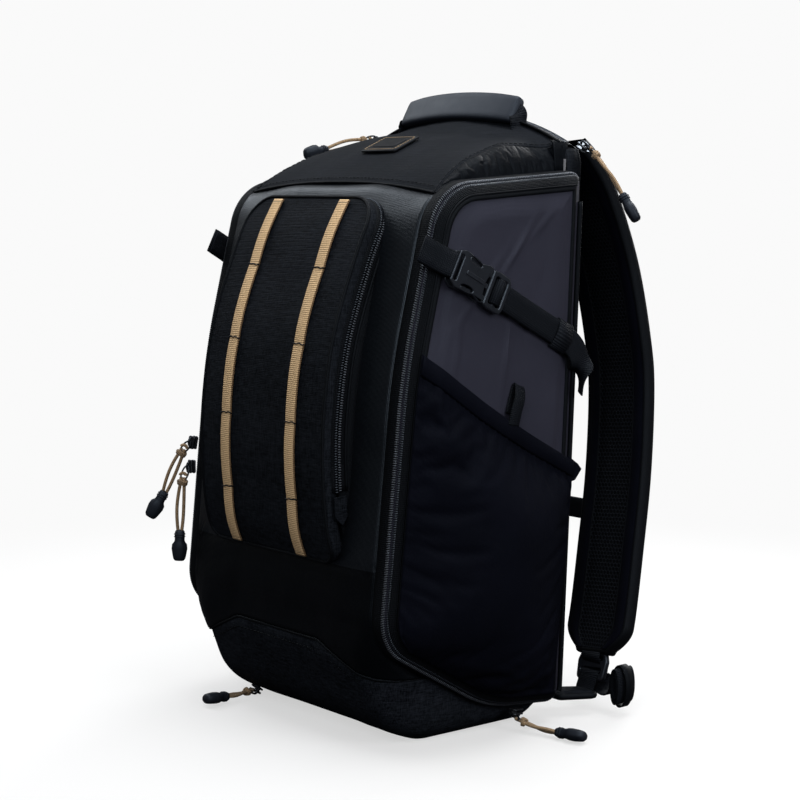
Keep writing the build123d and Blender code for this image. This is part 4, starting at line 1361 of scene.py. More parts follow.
def lid_z(x, y):
    """Height of the lid's top surface."""
    crest, (hip_x, hip_z) = lid_crest(y), lid_hip(y)
    foot = rim_z(y) + 0.6
    front = crest - (crest - hip_z) * min(abs(x) / hip_x, 1.0) ** 2.3
    rear = arc_z(min(abs(x), hip_x)) - (478 - crest)
    w = float(smooth((y - 30) / 52))
    z = front + (rear - front) * w
    if abs(x) > hip_x:
        t = (abs(x) - hip_x) / max(LID_EDGE_X - hip_x, 0.5)
        z = z + (foot - z) * (1 - (1 - min(t, 1.0)) ** 1.5) ** 1.15
    return z


def lid_point(u, y):
    """Point of the lid; u runs -2..2 with the hip seams at -1 and 1."""
    hip_x, _ = lid_hip(y)
    a = abs(u)
    x = hip_x * a if a <= 1 else hip_x + (LID_EDGE_X - hip_x) * (a - 1)
    x = math.copysign(x, u)
    return (x, y, lid_z(x, y))


def lid():
    """Domed lid: woven centre, smooth gathered side gussets, lining and rim bindings."""
    ys = np.concatenate([np.linspace(LID_FRONT_Y, LID_FRONT_Y + 3, 4), np.linspace(LID_FRONT_Y + 5, LID_BACK_Y, 56)])

    def lift(u, y, p):
        seam = -1.0 * math.exp(-((abs(abs(u) - 1)) / 0.012) ** 2)
        front = -1.2 * math.exp(-((y - LID_FRONT_Y) / 2.2) ** 2)
        loose = smooth((y - LID_FRONT_Y) / 16)
        return seam + front + loose * (1.0 * lumps(p, 42, 41) + 0.4 * lumps(p, 19, 42))

    us = np.linspace(-1.0, 1.0, 90)
    top = sheet("lid_cloth", surface(lid_point, us, ys, lift), MAT["woven_top"], 1.8)
    piece(top, "lid", "lid", slot="woven_nylon")

    def gathered(u, y, p):
        t = abs(u) - 1
        free = math.sin(math.pi * min(max(t, 0), 1)) * smooth((y + 46) / 20) * smooth((86 - y) / 10)
        folds = 2.4 * math.sin((y + 20 * t) / 4.6 + 2 * lumps(p, 30, 43)) * math.exp(-((y - 6) / 26) ** 2) * (1 - t)
        folds += 1.8 * lumps(p, 13, 44) + 1.4 * lumps(p, 26, 45)
        return free * (folds + 2.2) - 0.9 * math.exp(-(t / 0.03) ** 2)

    side = sheet("x", surface(lid_point, np.linspace(1.0, 2.0, 40), np.linspace(LID_FRONT_Y, LID_BACK_Y, 120), gathered), MAT["gusset"])
    settle(side, border_pins(120, 40), (2.0, 0, 3.0), 24, 0.045, 12.0, 0.3)
    solid = side.modifiers.new("thickness", "SOLIDIFY")
    solid.thickness, solid.offset = 1.6 * MM, -1
    pair(side, "lid_side_gusset", "lid", slot="coated_nylon")
    under = surface(lid_point, np.linspace(-1.97, 1.97, 60), ys[2:])
    sag = np.abs(np.linspace(-1.97, 1.97, 60)) > 1
    under[:, :, 2] -= np.where(sag, 8.5, 5.0)[None, :]
    under[:, :, 0] *= 0.965
    piece(sheet("lid_lining", under, MAT["lining"], 0.8, flip=True), "lid")
    seam = [(x, LID_FRONT_Y + 0.6, lid_z(x, LID_FRONT_Y + 0.6) + 0.35) for x in np.linspace(-112, 112, 120)]
    piece(tube("lid_front_piping", seam, 1.1, MAT["binding"], around=8), "lid")
    line = [(x, LID_FRONT_Y + 5.0, lid_z(x, LID_FRONT_Y + 5.0) + 1.15) for x in np.linspace(-108, 108, 160)]
    piece(stitches("lid_front_stitching", line, MAT["thread_black"]), "lid")
    hips = {1: [], -1: []}
    for y in np.linspace(LID_FRONT_Y + 2, LID_BACK_Y - 2, 90):
        hip_x, _ = lid_hip(y)
        for side in hips:
            u = side * (1 - 3.0 / hip_x)
            x, _, z = lid_point(u, y)
            hips[side].append((x, y, z + lift(u, y, (x, y, z)) + 0.3))
    for name, side in SIDES:
        piece(stitches(name + "_lid_hip_stitching", hips[side], MAT["thread_black"]), "lid")
    edge = [(LID_EDGE_X, y, rim_z(y) + 0.9) for y in np.linspace(LID_FRONT_Y + 1, LID_BACK_Y + 1, 60)]
    pair(tube("x", edge, 1.1, MAT["binding"], around=8), "lid_side_piping", "lid")
    rows = [[(x, y, z) for y in np.linspace(78.0, back_y(z) - 2.0, 10)] for x, z in ((114.6, 427), (114.4, 436), (113.8, 446), (112.4, 453.2), (109.0, 454.6))]
    pair(sheet("x", rows, MAT["gusset"], 0.8), "lid_corner_cloth", "root")
    lid_zip()
    lid_patch()


def arch_row(radius, y, half=112.5, count=150):
    top = math.asin(half / radius)
    return [(radius * math.sin(a), y, ARC_Z + radius * math.cos(a)) for a in np.linspace(-top, top, count)]


ZIP_ARC = 260.6
ZIP_Y = 93.2  # plane where the lid's zip meets the back's


def lid_zip():
    tape = [arch_row(LID_ARC + 0.5, LID_BACK_Y - 3.5), arch_row(LID_ARC + 0.9, LID_BACK_Y - 0.5), arch_row(LID_ARC + 0.6, 90.6), arch_row(ZIP_ARC - 0.3, 91.9)]
    piece(sheet("lid_zip_tape", tape, MAT["tape"], 0.8, flip=False), "lid", "lid_zip", slot="zip_coil")
    tape = [arch_row(ZIP_ARC - 0.4, 94.4), arch_row(ZIP_ARC - 0.6, 96.4), arch_row(ZIP_ARC - 1.4, 99.6), arch_row(ZIP_ARC - 3.2, 102.2)]
    piece(sheet("back_zip_tape", tape, MAT["tape"], 0.8), "root")
    meet = arch_row(ZIP_ARC + 0.1, ZIP_Y)
    piece(teeth("lid_zip_teeth", [arch_row(ZIP_ARC, 90.2), meet], 1, MAT["coil"]), "lid")
    piece(teeth("back_zip_teeth", [arch_row(ZIP_ARC - 0.2, 96.2), meet], -1, MAT["coil"]), "root")
    piece(tube("lid_rear_piping", arch_row(LID_ARC + 0.9, LID_BACK_Y - 3.6), 1.15, MAT["binding"], around=8), "lid")


PATCH_Y, PATCH_TILT = 9.0, math.atan2(0.44, 1)


def lid_patch():
    """Plain moulded patch with a sewn border and a raised inner panel."""
    slope = math.atan2(lid_crest(20) - lid_crest(-2), 22)
    turn = Matrix.Rotation(slope, 3, "X")
    origin = (0, PATCH_Y, lid_crest(PATCH_Y) + 0.6)
    plate = outline_solid("plate", [box_loop(-21, 21, -14.5, 14.5, 2.0)], 1.9, 0.6, MAT["patch"])
    raised = lift_mesh(outline_solid("raised", [box_loop(-14, 14, -7.5, 7.5, 2.5)], 1.0, 0.4, MAT["patch"]), 1.5)
    plate = join("plate", [plate, raised])
    piece(place(plate, origin, turn), "lid", "lid_patch", slot="patch")
    loop = rounded([(-18.6, -12.1, 1.5), (18.6, -12.1, 1.5), (18.6, 12.1, 1.5), (-18.6, 12.1, 1.5)], 4)
    loop = np.vstack([loop, loop[:1]])
    path = np.column_stack([loop, np.full(len(loop), 2.0)])
    thread = stitches("lid_patch_stitching", path, MAT["thread_tan"], 1.5, 1.2, 0.32)
    piece(place(thread, origin, turn), "lid")


# ------------------------------------------------------------------ carrying handle
HANDLE_Y, HANDLE_Z, HANDLE_HALF = 80.0, 483.0, 66.0
HANDLE_LEAN = math.radians(30)


def handle_frame(x):
    """Centre of the grip at x, its thickness direction and its width direction."""
    wide = np.array([0, math.sin(HANDLE_LEAN), math.cos(HANDLE_LEAN)])
    thick = np.array([0, -math.cos(HANDLE_LEAN), math.sin(HANDLE_LEAN)])
    k = (x / HANDLE_HALF) ** 2
    return np.array([x, HANDLE_Y + 4.0 * k, HANDLE_Z - 4.6 * k]), thick, wide


def handle():
    """Moulded grip: a shallow arch with squared ends, a squarer upper face and a rounded underside."""
    xs = np.concatenate([[-66, -65.4, -64], np.linspace(-61, 61, 60), [64, 65.4, 66]])
    rows, around = [], 40
    for x in xs:
        c, up, wide = handle_frame(x)
        end = 0.0 if abs(x) > 65.9 else (0.7 if abs(x) > 65 else 1.0)
        w = 11.9 - 0.5 * smooth((abs(x) - 40) / 26) - 0.9 * (1 - end)
        h = 5.2 - 0.4 * smooth((abs(x) - 50) / 16) - 0.9 * (1 - end)
        row = []
        for k in range(around):
            a = 2 * math.pi * k / around
            ca, sa = math.cos(a), math.sin(a)
            power = 0.4 if sa > 0 else 0.7
            p, q = math.copysign(abs(ca) ** 0.36, ca), math.copysign(abs(sa) ** power, sa)
            row.append(c + wide * w * p + up * h * q)
        rows.append(row)
    rows = np.array(rows)
    first, last = rows[0].mean(0), rows[-1].mean(0)
    rows = np.concatenate([[np.broadcast_to(first, rows[0].shape)], rows, [np.broadcast_to(last, rows[0].shape)]])
    grip = sheet("handle_grip_moulding", rows, MAT["rubber"], close_cols=True, flip=True)
    piece(weld(grip, 0.01), "handle", "handle_grip", slot="handle_rubber")
    ends = []
    for side in (1, -1):
        path = [(58, 479.0), (64, 477.6), (67.5, 474.5), (68.8, 470.0), (69.5, 466.0), (72, 463.4)]
        pts = [(side * x, HANDLE_Y + 4.0 - (479 - z) * 0.1, z) for x, z in path]
        share = smooth(np.linspace(-0.2, 1.6, 50))[:, None]
        across = np.array([[0, math.sin(HANDLE_LEAN), math.cos(HANDLE_LEAN)]]) * (1 - share) + np.array([[0, 0.9, 0.42]]) * share
        ends.append(ribbon("web", curve_through(pts, 50), across, 16, 1.8, MAT["black_web"]))
    web = join("handle_webbing_ends", ends)
    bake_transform(web)
    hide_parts("handle_webbing")


# ------------------------------------------------------------------ cushions and simulated cloth
def cushion(name, outline, put, thick, material, crown=1.2, soft=0.5, seed=50, edge=0.45):
    """Padded board with rolled edges. outline is a convex polygon of (u, v, radius); put(u, v, h) places a point."""
    half = thick / 2
    centre = np.mean([p[:2] for p in outline], axis=0)
    roll = half * edge * 2
    rows = []

    def ring(d, h, f=0.0, bulge=0.0):
        loop = resample(rounded(inset(outline, d), 8), 120, closed=True)
        out = []
        for q in loop:
            q = q + (centre - q) * f
            side = math.copysign(1, h)
            n = soft * lumps(put(q[0], q[1], h), 30, seed) * bulge
            out.append(put(q[0], q[1], h + side * (crown * bulge + n)))
        rows.append(out)

    shares = (1.0, 0.85, 0.65, 0.45, 0.25, 0.12, 0.04)
    for f in shares:
        ring(roll, -half, f, float(smooth(f * 4)))
    for a in np.linspace(-math.pi / 2, math.pi / 2, 9):
        ring(roll * (1 - math.cos(a)), half * math.sin(a))
    for f in shares[::-1]:
        ring(roll, half, f, float(smooth(f * 4)))
    return weld(sheet(name, rows, material, close_cols=True, flip=True))


def settle(obj, pinned, push, frames=34, grow=0.05, stiff=18.0, bending=0.6, mass=0.12):
    """Lets a sheet of cloth drape: pinned points stay, the rest moves under a push in m/s2. Keeps the settled mesh."""
    group = obj.vertex_groups.new(name="pins")
    for index, weight in pinned:
        group.add([int(index)], float(weight), "REPLACE")
    scene = bpy.context.scene
    scene.gravity = push
    scene.frame_start, scene.frame_end = 1, frames
    mod = obj.modifiers.new("cloth", "CLOTH")
    s = mod.settings
    s.quality, s.mass, s.air_damping = 7, mass, 4.0
    s.tension_stiffness = s.compression_stiffness = stiff
    s.shear_stiffness, s.bending_stiffness = stiff * 0.5, bending
    s.vertex_group_mass = "pins"
    s.shrink_min = -grow
    mod.collision_settings.use_collision = False
    mod.point_cache.frame_start, mod.point_cache.frame_end = 1, frames
    for f in range(1, frames + 1):
        scene.frame_set(f)
    evaluated = obj.evaluated_get(bpy.context.evaluated_depsgraph_get())
    mesh = bpy.data.meshes.new_from_object(evaluated)
    obj.modifiers.clear()
    obj.vertex_groups.clear()
    obj.data = mesh
    scene.frame_set(1)
    return obj


def border_pins(rows, cols, held=1):
    """Pin weights for a grid of cloth sewn down along its border and over its first `held` rows."""
    pins = []
    for i in range(rows):
        for j in range(cols):
            near = min(j, rows - 1 - i, cols - 1 - j)
            if i < held or near == 0:
                pins.append((i * cols + j, 1.0))
            elif near == 1 or i < held + 2:
                pins.append((i * cols + j, 0.5))
    return pins


# ------------------------------------------------------------------ back
PANEL_X, PANEL_R, PANEL_FOOT = 117.6, 257.0, 18.0


def back_put(x, z, h):
    """Point at x and z on the back panel, h behind its face."""
    return (x, back_y(z) + 8.0 + h, z)


def panel_loop(d):
    """Outline of the back panel inset by d, as (x, z)."""
    half, radius, foot = PANEL_X - d, PANEL_R - d, PANEL_FOOT + d
    top = ARC_Z + math.sqrt(radius**2 - half**2)
    lower = rounded([(-half, top, 0.01), (-half, foot, 16), (half, foot, 16), (half, top, 0.01)], 10)[11:33]
    up = [(half, foot + 16 + (top - foot - 24) * k / 40) for k in range(1, 41)]
    reach = math.asin(half / radius)
    crown = [(radius * math.sin(a), ARC_Z + radius * math.cos(a)) for a in np.linspace(reach * 0.97, -reach * 0.97, 61)]
    down = [(-u, v) for u, v in reversed(up)]
    foot_run = [(-half + 16 + (2 * half - 32) * k / 30, foot) for k in range(1, 30)]
    left, right = [tuple(p) for p in lower[:11]], [tuple(p) for p in lower[11:]]
    return np.array(left + foot_run + right + up + crown + down)


def back_panel():
    """Back panel with rolled edge, mesh pads over it, the yoke the straps are sewn to, and bindings."""
    rows = []
    for d, h in ((1.6, -13.6), (0.0, -12.0), (-0.4, -6.0), (0.0, -2.0), (1.4, -0.3)):
        rows.append([back_put(x, z, h) for x, z in panel_loop(d)])
    spine = (np.array([0.0, 120.0]), np.array([0.0, 360.0]))
    loop = panel_loop(4.0)
    for f in np.linspace(0, 1, 24):
        ring = []
        for q in loop:
            t = np.clip((q[1] - 120) / 240, 0, 1)
            p = q + (spine[0] + (spine[1] - spine[0]) * t - q) * f
            ring.append(back_put(p[0], p[1], 0.2 + 0.6 * lumps((p[0], 0, p[1]), 40, 51) * smooth(f * 5)))
        rows.append(ring)
    panel = weld(sheet("back_panel_cloth", rows, MAT["woven"], 0, close_cols=True))
    piece(panel, "root", "back_panel", slot="coated_nylon")
    rim = np.array([back_put(x, z, -0.6) for x, z in panel_loop(1.2)])
    piece(tube("back_panel_binding", rim, 1.8, MAT["binding"], closed=True, around=8), "root")
    front_face = [[(x, back_y(z) - 6.6, z) for x in np.linspace(-116, 116, 12)] for z in np.linspace(22, 440, 24)]
    piece(sheet("back_lining", front_face, MAT["lining"], 0.8, flip=True), "root")
    yoke = [(-111, 403, 8), (111, 403, 8), (111, 441, 14), (-111, 441, 14)]
    put = lambda u, v, h: back_put(u, v, h + 4.9)
    piece(cushion("shoulder_yoke_pad", yoke, put, 8.4, MAT["woven_top"], 0.8), "root", "shoulder_yoke", slot="woven_nylon")
    for z in (407.5, 436.5):
        line = [back_put(x, z, 9.6) for x in np.linspace(-104, 104, 120)]
        piece(stitches(f"yoke_stitching_{int(z)}", line, MAT["thread_black"]), "root")
    back_pads()


PAD_ROWS = ((52, 168), (182, 290), (304, 392))
PAD_INNER, PAD_OUTER = 14.0, 92.0


def back_pads():
    """Six air mesh pads: a sewn-down sheet puffed out by the foam under it, and a bound edge."""
    made, bindings = [], []
    for low, high in PAD_ROWS:
        for side in (1, -1):
            x0, x1 = sorted((side * PAD_INNER, side * PAD_OUTER))
            outline = [(x0, low, 13), (x1, low, 13), (x1, high, 13), (x0, high, 13)]
            centre = np.array([(x0 + x1) / 2, (low + high) / 2])
            loop = resample(rounded(outline, 8), 96, closed=True)
            rows, count = [], 18
            for f in np.linspace(0, 1, count):
                ring = loop + (centre - loop) * f * 0.985
                puff = 9.6 * (1 - (1 - min(f * 2.6, 1.0)) ** 2.2)
                rows.append([back_put(x, z, 1.2 + puff) for x, z in ring])
            pad = sheet("mesh_pad", rows, MAT["mesh"], close_cols=True, flip=False)
            uv = pad.data.uv_layers.active.data
            for lp in pad.data.loops:
                co = pad.data.vertices[lp.vertex_index].co
                uv[lp.index].uv = (co.x, co.z)
            pins = [(k, 1.0) for k in range(96)] + [(96 + k, 0.5) for k in range(96)]
            settle(pad, pins, (0, 5.0, 0), 30, 0.06, 12.0, 0.25)
            face_out = pad.data.polygons[len(pad.data.polygons) // 2].normal.y
            if face_out < 0:
                pad.data.flip_normals()
            made.append(pad)
            path = [back_put(x, z, 1.6) for x, z in loop]
            bindings.append(tube("binding", path, 2.2, MAT["binding"], closed=True, around=8))
    piece(join("back_mesh_pads", made), "root", "back_pads", slot="air_mesh")
    piece(join("back_pad_bindings", bindings), "root")


# ------------------------------------------------------------------ inside
def inside():
    """Lining of the body and the soft boards in it."""
    loop = door_loop(6.4)
    start = np.argmin(np.linalg.norm(loop - np.array([-44.0, 413.0]), axis=1))
    end = np.argmin(np.linalg.norm(loop - np.array([66.0, 26.0]), axis=1))
    profile = resample(loop[start:end + 1], 90)
    rows = [[(x, y, z) for x in np.linspace(-116, 116, 20)] for y, z in profile]
    piece(sheet("body_lining", rows, MAT["lining"], 0.8), "root")
    for k, z in enumerate((160.0, 288.0)):
        edge_y = float(np.interp(-z, -profile[:, 1], profile[:, 0])) + 4.0
        outline = [(-110, edge_y, 4), (110, edge_y, 4), (110, back_y(z) - 35, 4), (-110, back_y(z) - 35, 4)]
        put = lambda u, v, h, z=z: (u, v, z + 3.5 + h)
        board = cushion(f"divider_{k + 1}", outline, put, 7.0, MAT["lining"], 0.7)
        piece(board, "root", *(["padded_dividers"] if k == 0 else []), slot="lining")
    wall = [(-110, 43, 6), (110, 43, 6), (110, 329, 10), (-110, 329, 10)]
    put = lambda u, v, h: (u, back_y(v) - 31 + h, v)
    board = cushion("laptop_sleeve_wall", wall, put, 4.6, MAT["lining"], 0.6)
    piece(board, "root", "laptop_sleeve", slot="lining")
    rim = [(x, back_y(329) - 31, 329) for x in np.linspace(-104, 104, 60)]
    piece(tube("laptop_sleeve_binding", rim, 2.8, MAT["binding"], around=8), "root")
    shelf = [(-110, 0, 2), (110, 0, 2), (110, 20, 2), (-110, 20, 2)]
    put = lambda u, v, h: (u, back_y(44) - 29 + v, 44.5 + h)
    piece(cushion("laptop_sleeve_floor", shelf, put, 4.4, MAT["lining"], 0.2), "root")
    for node, key in (("right_door_frame", "coated"), ("left_door_frame", "coated"), ("frame_sheet", "sheet")):
        obj = frame["nodes"][node]
        obj.data.materials.clear()
        obj.data.materials.append(MAT[key])
        bevel = obj.modifiers.new("soft_edges", "BEVEL")
        bevel.width, bevel.segments, bevel.limit_method = 0.8 * MM, 2, "ANGLE"


# ------------------------------------------------------------------ shoulder straps
PAD_X, PAD_HALF, PAD_SPLAY = 75.0, 32.5, math.radians(6)
PAD_PATH = [(117, 449), (129, 438), (148, 409), (167, 352), (176, 290), (176, 250), (166, 184), (151, 122), (138, 73), (128, 45)]
PAD_LINE = curve_through(PAD_PATH, 300)


def splay(p):
    """Leans a point outwards about the root of a shoulder pad."""
    dx, dz = p[0] - PAD_X, p[2] - 445.0
    c, s = math.cos(PAD_SPLAY), math.sin(PAD_SPLAY)
    return np.array([PAD_X + dx * c - dz * s, p[1], 445.0 + dx * s + dz * c])


def pad_at(t, u, h):
    """Point of the right shoulder pad: t along it, u across it, h off its middle away from the wearer."""
    p = along(PAD_LINE, t)
    d = along(PAD_LINE, min(t + 0.01, 1)) - along(PAD_LINE, np.clip(t - 0.01, 0, 0.99))
    d /= np.linalg.norm(d)
    over = max(t - 1, 0) * 460
    return splay(np.array([PAD_X + u, p[0] - d[1] * h + d[0] * over, p[1] + d[0] * h + d[1] * over]))


def pad_width(t):
    """Half width of a shoulder pad, narrowing to its rounded foot."""
    foot = 1 - (max(0.0, t - 0.955) / 0.045) ** 2 * 0.42
    return PAD_HALF * foot


def shoulder():
    """Shoulder pad: woven outer face, mesh channel between smooth borders inside, bound edge, webbing and ladder lock."""
    ts = np.concatenate([np.linspace(0.0, 0.94, 110), np.linspace(0.945, 1.0, 14)])

    def outer(u, t):
        w = pad_width(t) - 1.5
        p = pad_at(t, u * w, 4.9 + 1.7 * (1 - u * u))
        return p

    soft = lambda u, t, p: -0.7 * lumps(p, 34, 61) - 0.3 * lumps(p, 15, 62)
    face = sheet("x", surface(outer, np.linspace(-1, 1, 30), ts, soft), MAT["woven_top"], 0, flip=False)
    pair(face, "shoulder_pad_outer", "shoulder", slot="woven_nylon")

    def border_zone(u):
        return abs(u) > 0.60

    def inner_h(u, t):
        channel = 1.9 * smooth((0.64 - abs(u)) / 0.08)
        pillow = 1.8 * (1 - ((abs(u) - 0.80) / 0.2) ** 2) if abs(u) > 0.6 else 1.0 - 0.5 * u * u
        return -(5.0 + pillow - channel)

    def inner(u, t):
        return pad_at(t, u * (pad_width(t) - 1.5), inner_h(u, t))

    us = np.linspace(-1, 1, 61)
    for zone, key, name in ((lambda u: abs(u) <= 0.621, "mesh", "shoulder_pad_mesh"),
                            (lambda u: u >= 0.599, "stretch", "shoulder_pad_border_outer"),
                            (lambda u: u <= -0.599, "stretch", "shoulder_pad_border_inner")):
        cols = [u for u in us if zone(u)]
        rows = surface(inner, cols, ts, lambda u, t, p: 0.5 * lumps(p, 26, 63))
        obj = sheet("x", rows, MAT[key], 0, flip=True)
        if key == "mesh":
            pair(obj, name, "shoulder", "shoulder_pad", slot="air_mesh")
        else:
            pair(obj, name, "shoulder", slot="stretch_mesh")
    for sign in (1, -1):
        seam = [pad_at(t, sign * 0.61 * (pad_width(t) - 1.5), -5.3) for t in ts]
        pair(tube("x", seam, 0.55, MAT["binding"], around=6), f"shoulder_channel_seam_{'outer' if sign > 0 else 'inner'}", "shoulder")
    section = [(-2.2, 5.4), (-0.9, 6.0), (0.6, 5.2), (1.5, 3.2), (1.9, 0.0), (1.5, -3.2), (0.6, -5.2), (-0.9, -6.1), (-2.2, -5.5)]
    path = [(t, 1) for t in ts] + [(1.0, s) for s in np.linspace(0.93, -0.93, 26)] + [(t, -1) for t in ts[::-1]]
    rows = []
    for a, h in section:
        row = []
        for t, s in path:
            if abs(s) == 1:
                row.append(pad_at(t, s * (pad_width(t) - 0.8 + a), h))
            else:
                row.append(pad_at(1 + (a + 0.8) / 460 + 0.004, s * (pad_width(1) - 0.8), h))
        rows.append(row)
    pair(sheet("x", rows, MAT["binding"], 0, flip=True), "shoulder_pad_binding", "shoulder")
    web = [pad_at(t, 0, 7.6 - 0.9 * smooth((t - 0.96) / 0.04)) for t in np.linspace(0.30, 1.0, 120)]
    web += [pad_at(1 + s / 460, 0, h) for s, h in ((4, 4.2), (8, 2.0), (10.5, -2.5), (8, -4.6), (3, -5.2))]
    pair(ribbon("x", np.array(web), (1, 0, 0), 20, 1.5, MAT["black_web"]), "shoulder_webbing", "shoulder")
    for k, t in enumerate((0.305, 0.62, 0.90)):
        bar = [pad_at(t, u, 8.6) for u in np.linspace(-9, 9, 30)]
        pair(stitches("x", bar, MAT["thread_black"], 1.6, 0.4, 0.5), f"shoulder_bar_tack_{k + 1}", "shoulder")
    lock()


def lock():
    """Ladder lock at the foot of a pad, the strap through it and its rolled tail, and the padded wing it is sewn to."""
    base = pad_at(1.0, 0, 0)
    x_dir = pad_at(1.0, 1, 0) - base
    down = pad_at(1 + 1 / 460, 0, 0) - base
    up = np.cross(x_dir, down)
    turn = Matrix([[x_dir[k], down[k], up[k]] for k in range(3)])
    outer = [tuple(p) for p in rounded([(-13, 2, 3), (13, 2, 3), (16, 10, 4), (14.5, 25.5, 4), (-14.5, 25.5, 4), (-16, 10, 4)], 5)]
    slots = [box_loop(-11, 11, 5.5, 9.5, 1.5), box_loop(-11, 11, 15.5, 20.0, 1.5)]
    body = outline_solid("lock", [outer, *slots], 4.6, 1.1, MAT["buckle"])
    teeth_bar = lift_mesh(outline_solid("bar", [box_loop(-11.5, 11.5, 10.6, 14.2, 1.0)], 2.0, 0.5, MAT["buckle"]), 4.0)
    body = join("lock", [body, teeth_bar])
    lift_mesh(body, -2.3)
    pair(place(body, base, turn), "ladder_lock_moulding", "shoulder", "ladder_lock", slot="buckle_plastic")

    def at(s, h, u=0.0):
        return tuple(base + down * s + up * h + x_dir * u)

    foot = [(108, 84, 15.6), (112, 95, 15.8), (116, 106, 16.0), (118, 113, 16.6), at(23.0, -3.2), at(18.5, -2.6), at(16.5, 1.5), at(13.5, 5.2), at(10.0, 4.4),
            at(8.0, 0.0), at(8.2, -3.4)]
    web = ribbon("right_lower_strap", curve_through(foot, 120), (1, 0, 0), 19.6, 1.4, MAT["black_web"])
    tail = [at(9.0, 4.8), at(14, 7.2), at(20, 7.8), (121.5, 128, 22), (127, 127, 17.5), (134, 125, 15.5), (141, 124, 17), (144.5, 124, 22), (145, 124, 29)]
    across = np.array([x_dir] * 3 + [np.array([0.5, 0.86, 0.0])] * 2 + [np.array([0, 1.0, 0])] * 4)
    line = curve_through(tail, 80)
    across = np.array([along(across, k / 79) for k in range(80)])
    spiral = []
    for a in np.linspace(math.pi, -5.4 * math.pi, 150):
        r = 0.45 + 0.55 * (a + 5.4 * math.pi) / (6.4 * math.pi)
        spiral.append((149.8 + 4.8 * r * math.cos(a), 124.0, 24.0 + 3.5 * math.sin(a) + 11.5 * r * math.sin(a)))
    roll = ribbon("roll", np.array(spiral), (0, 1, 0), 19.6, 1.2, MAT["black_web"])
    run = ribbon("run", line, across, 19.6, 1.4, MAT["black_web"])
    keeper = band("keeper", [(149.8 + 7.6 * math.cos(a), 124, 24.0 + 16.4 * math.sin(a)) for a in np.linspace(0, 2 * math.pi, 48, endpoint=False)],
                  (0, 1, 0), 8.0, 0.9, MAT["binding"])
    pair(join("x", [run, roll, keeper]), "lower_strap_tail", "shoulder", slot="black_webbing")
    twin = mirrored_copy(web, "left_lower_strap")
    for o, side, sign in ((web, "right", 1), (twin, "left", -1)):
        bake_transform(o)
        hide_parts(side + "_lower_webbing")
    wing = [(93, 84, 3), (120, 84, 3), (134, 108, 4), (130, 112, 3), (113, 111, 4)]
    put = lambda u, v, h: (u, v, 15.6 + h)
    pair(cushion("x", wing, put, 6.4, MAT["woven_top"], 0.6), "strap_wing_pad", "root", "strap_wing", slot="woven_nylon")
    rim = resample(rounded(inset(wing, -0.2), 6), 90, closed=True)
    rim = [put(u, v, 0) for u, v in rim]
    pair(tube("x", rim, 2.7, MAT["binding"], closed=True, around=8), "strap_wing_binding", "root")


STERNUM_Z, STERNUM_Y = 150.0, 167.6


def sternum():
    """Chest strap: webbings, the sliders that hold them to the pads, and a small buckle."""
    turn = Matrix(((1, 0, 0), (0, 0, 1), (0, -1, 0)))
    for side, sign in (("right", 1), ("left", -1)):
        outline = box_loop(-13, 13, -6.5, 6.5, 2.5)
        block = outline_solid("block", [outline, box_loop(-9, 9, -3.2, -0.6, 0.8)], 4.6, 1.0, MAT["buckle"])
        x = sign * 105.2
        piece_name = side + "_sternum_slider_moulding"
        block.name = piece_name
        place(block, (x, 169.6, STERNUM_Z), Matrix(((1, 0, 0), (0, 0, 1), (0, -1, 0))))
        piece(block, side + "_sternum", side + "_sternum_slider", slot="buckle_plastic")
    y = STERNUM_Y + 2.7
    socket, plug = buckle_parts(26.0, 12.5)
    for obj in (socket, plug):
        obj.data.transform(Matrix.Diagonal((0.92, 0.92, 0.8, 1)))
    origin = (-20, STERNUM_Y - 0.6, STERNUM_Z)
    piece(place(socket, origin, turn), "left_sternum", "sternum_socket", slot="buckle_plastic").name = "sternum_socket_moulding"
    piece(place(plug, origin, turn), "sternum_plug", "sternum_plug", slot="buckle_plastic").name = "sternum_plug_moulding"
    right = [(102, y + 2.6, STERNUM_Z), (96, y + 1.6, STERNUM_Z), (80, y + 0.6, STERNUM_Z), (50, y + 0.3, STERNUM_Z), (30, y + 0.2, STERNUM_Z),
             (22, y + 1.6, STERNUM_Z), (17.5, y + 3.4, STERNUM_Z), (15, y + 1.0, STERNUM_Z), (16.5, y - 1.5, STERNUM_Z), (24, y - 1.6, STERNUM_Z),
             (40, y - 1.5, STERNUM_Z), (62, y - 1.2, STERNUM_Z)]
    web = ribbon("right_sternum_strap", curve_through(right, 140), (0, 0, 1), 17, 1.3, MAT["black_web"])
    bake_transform(web)
    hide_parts("right_sternum_webbing")
    left = [(-102, y + 2.6, STERNUM_Z), (-96, y + 1.6, STERNUM_Z), (-80, y + 0.6, STERNUM_Z), (-50, y + 0.3, STERNUM_Z), (-26, y + 0.3, STERNUM_Z),
            (-18.5, y + 0.4, STERNUM_Z), (-16.0, y + 2.2, STERNUM_Z), (-19, y + 3.6, STERNUM_Z), (-28, y + 2.6, STERNUM_Z), (-44, y + 2.3, STERNUM_Z)]
    obj = ribbon("left_sternum_strap", curve_through(left, 120), (0, 0, 1), 17, 1.3, MAT["black_web"])
    piece(obj, "left_sternum", "left_sternum_webbing", slot="black_webbing")
    for side, sign in (("right", 1), ("left", -1)):
        line = [(sign * 58, y + 1.4, STERNUM_Z + h) for h in np.linspace(-7, 7, 12)]
        obj = stitches(side + "_sternum_stitching", line, MAT["thread_black"], 1.8, 0.5, 0.4)
        if side == "left":
            piece(obj, "left_sternum")
        else:
            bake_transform(obj)


# ------------------------------------------------------------------ zip sliders and their pulls
def unit(v):
    v = np.array(v, float)
    return v / np.linalg.norm(v)


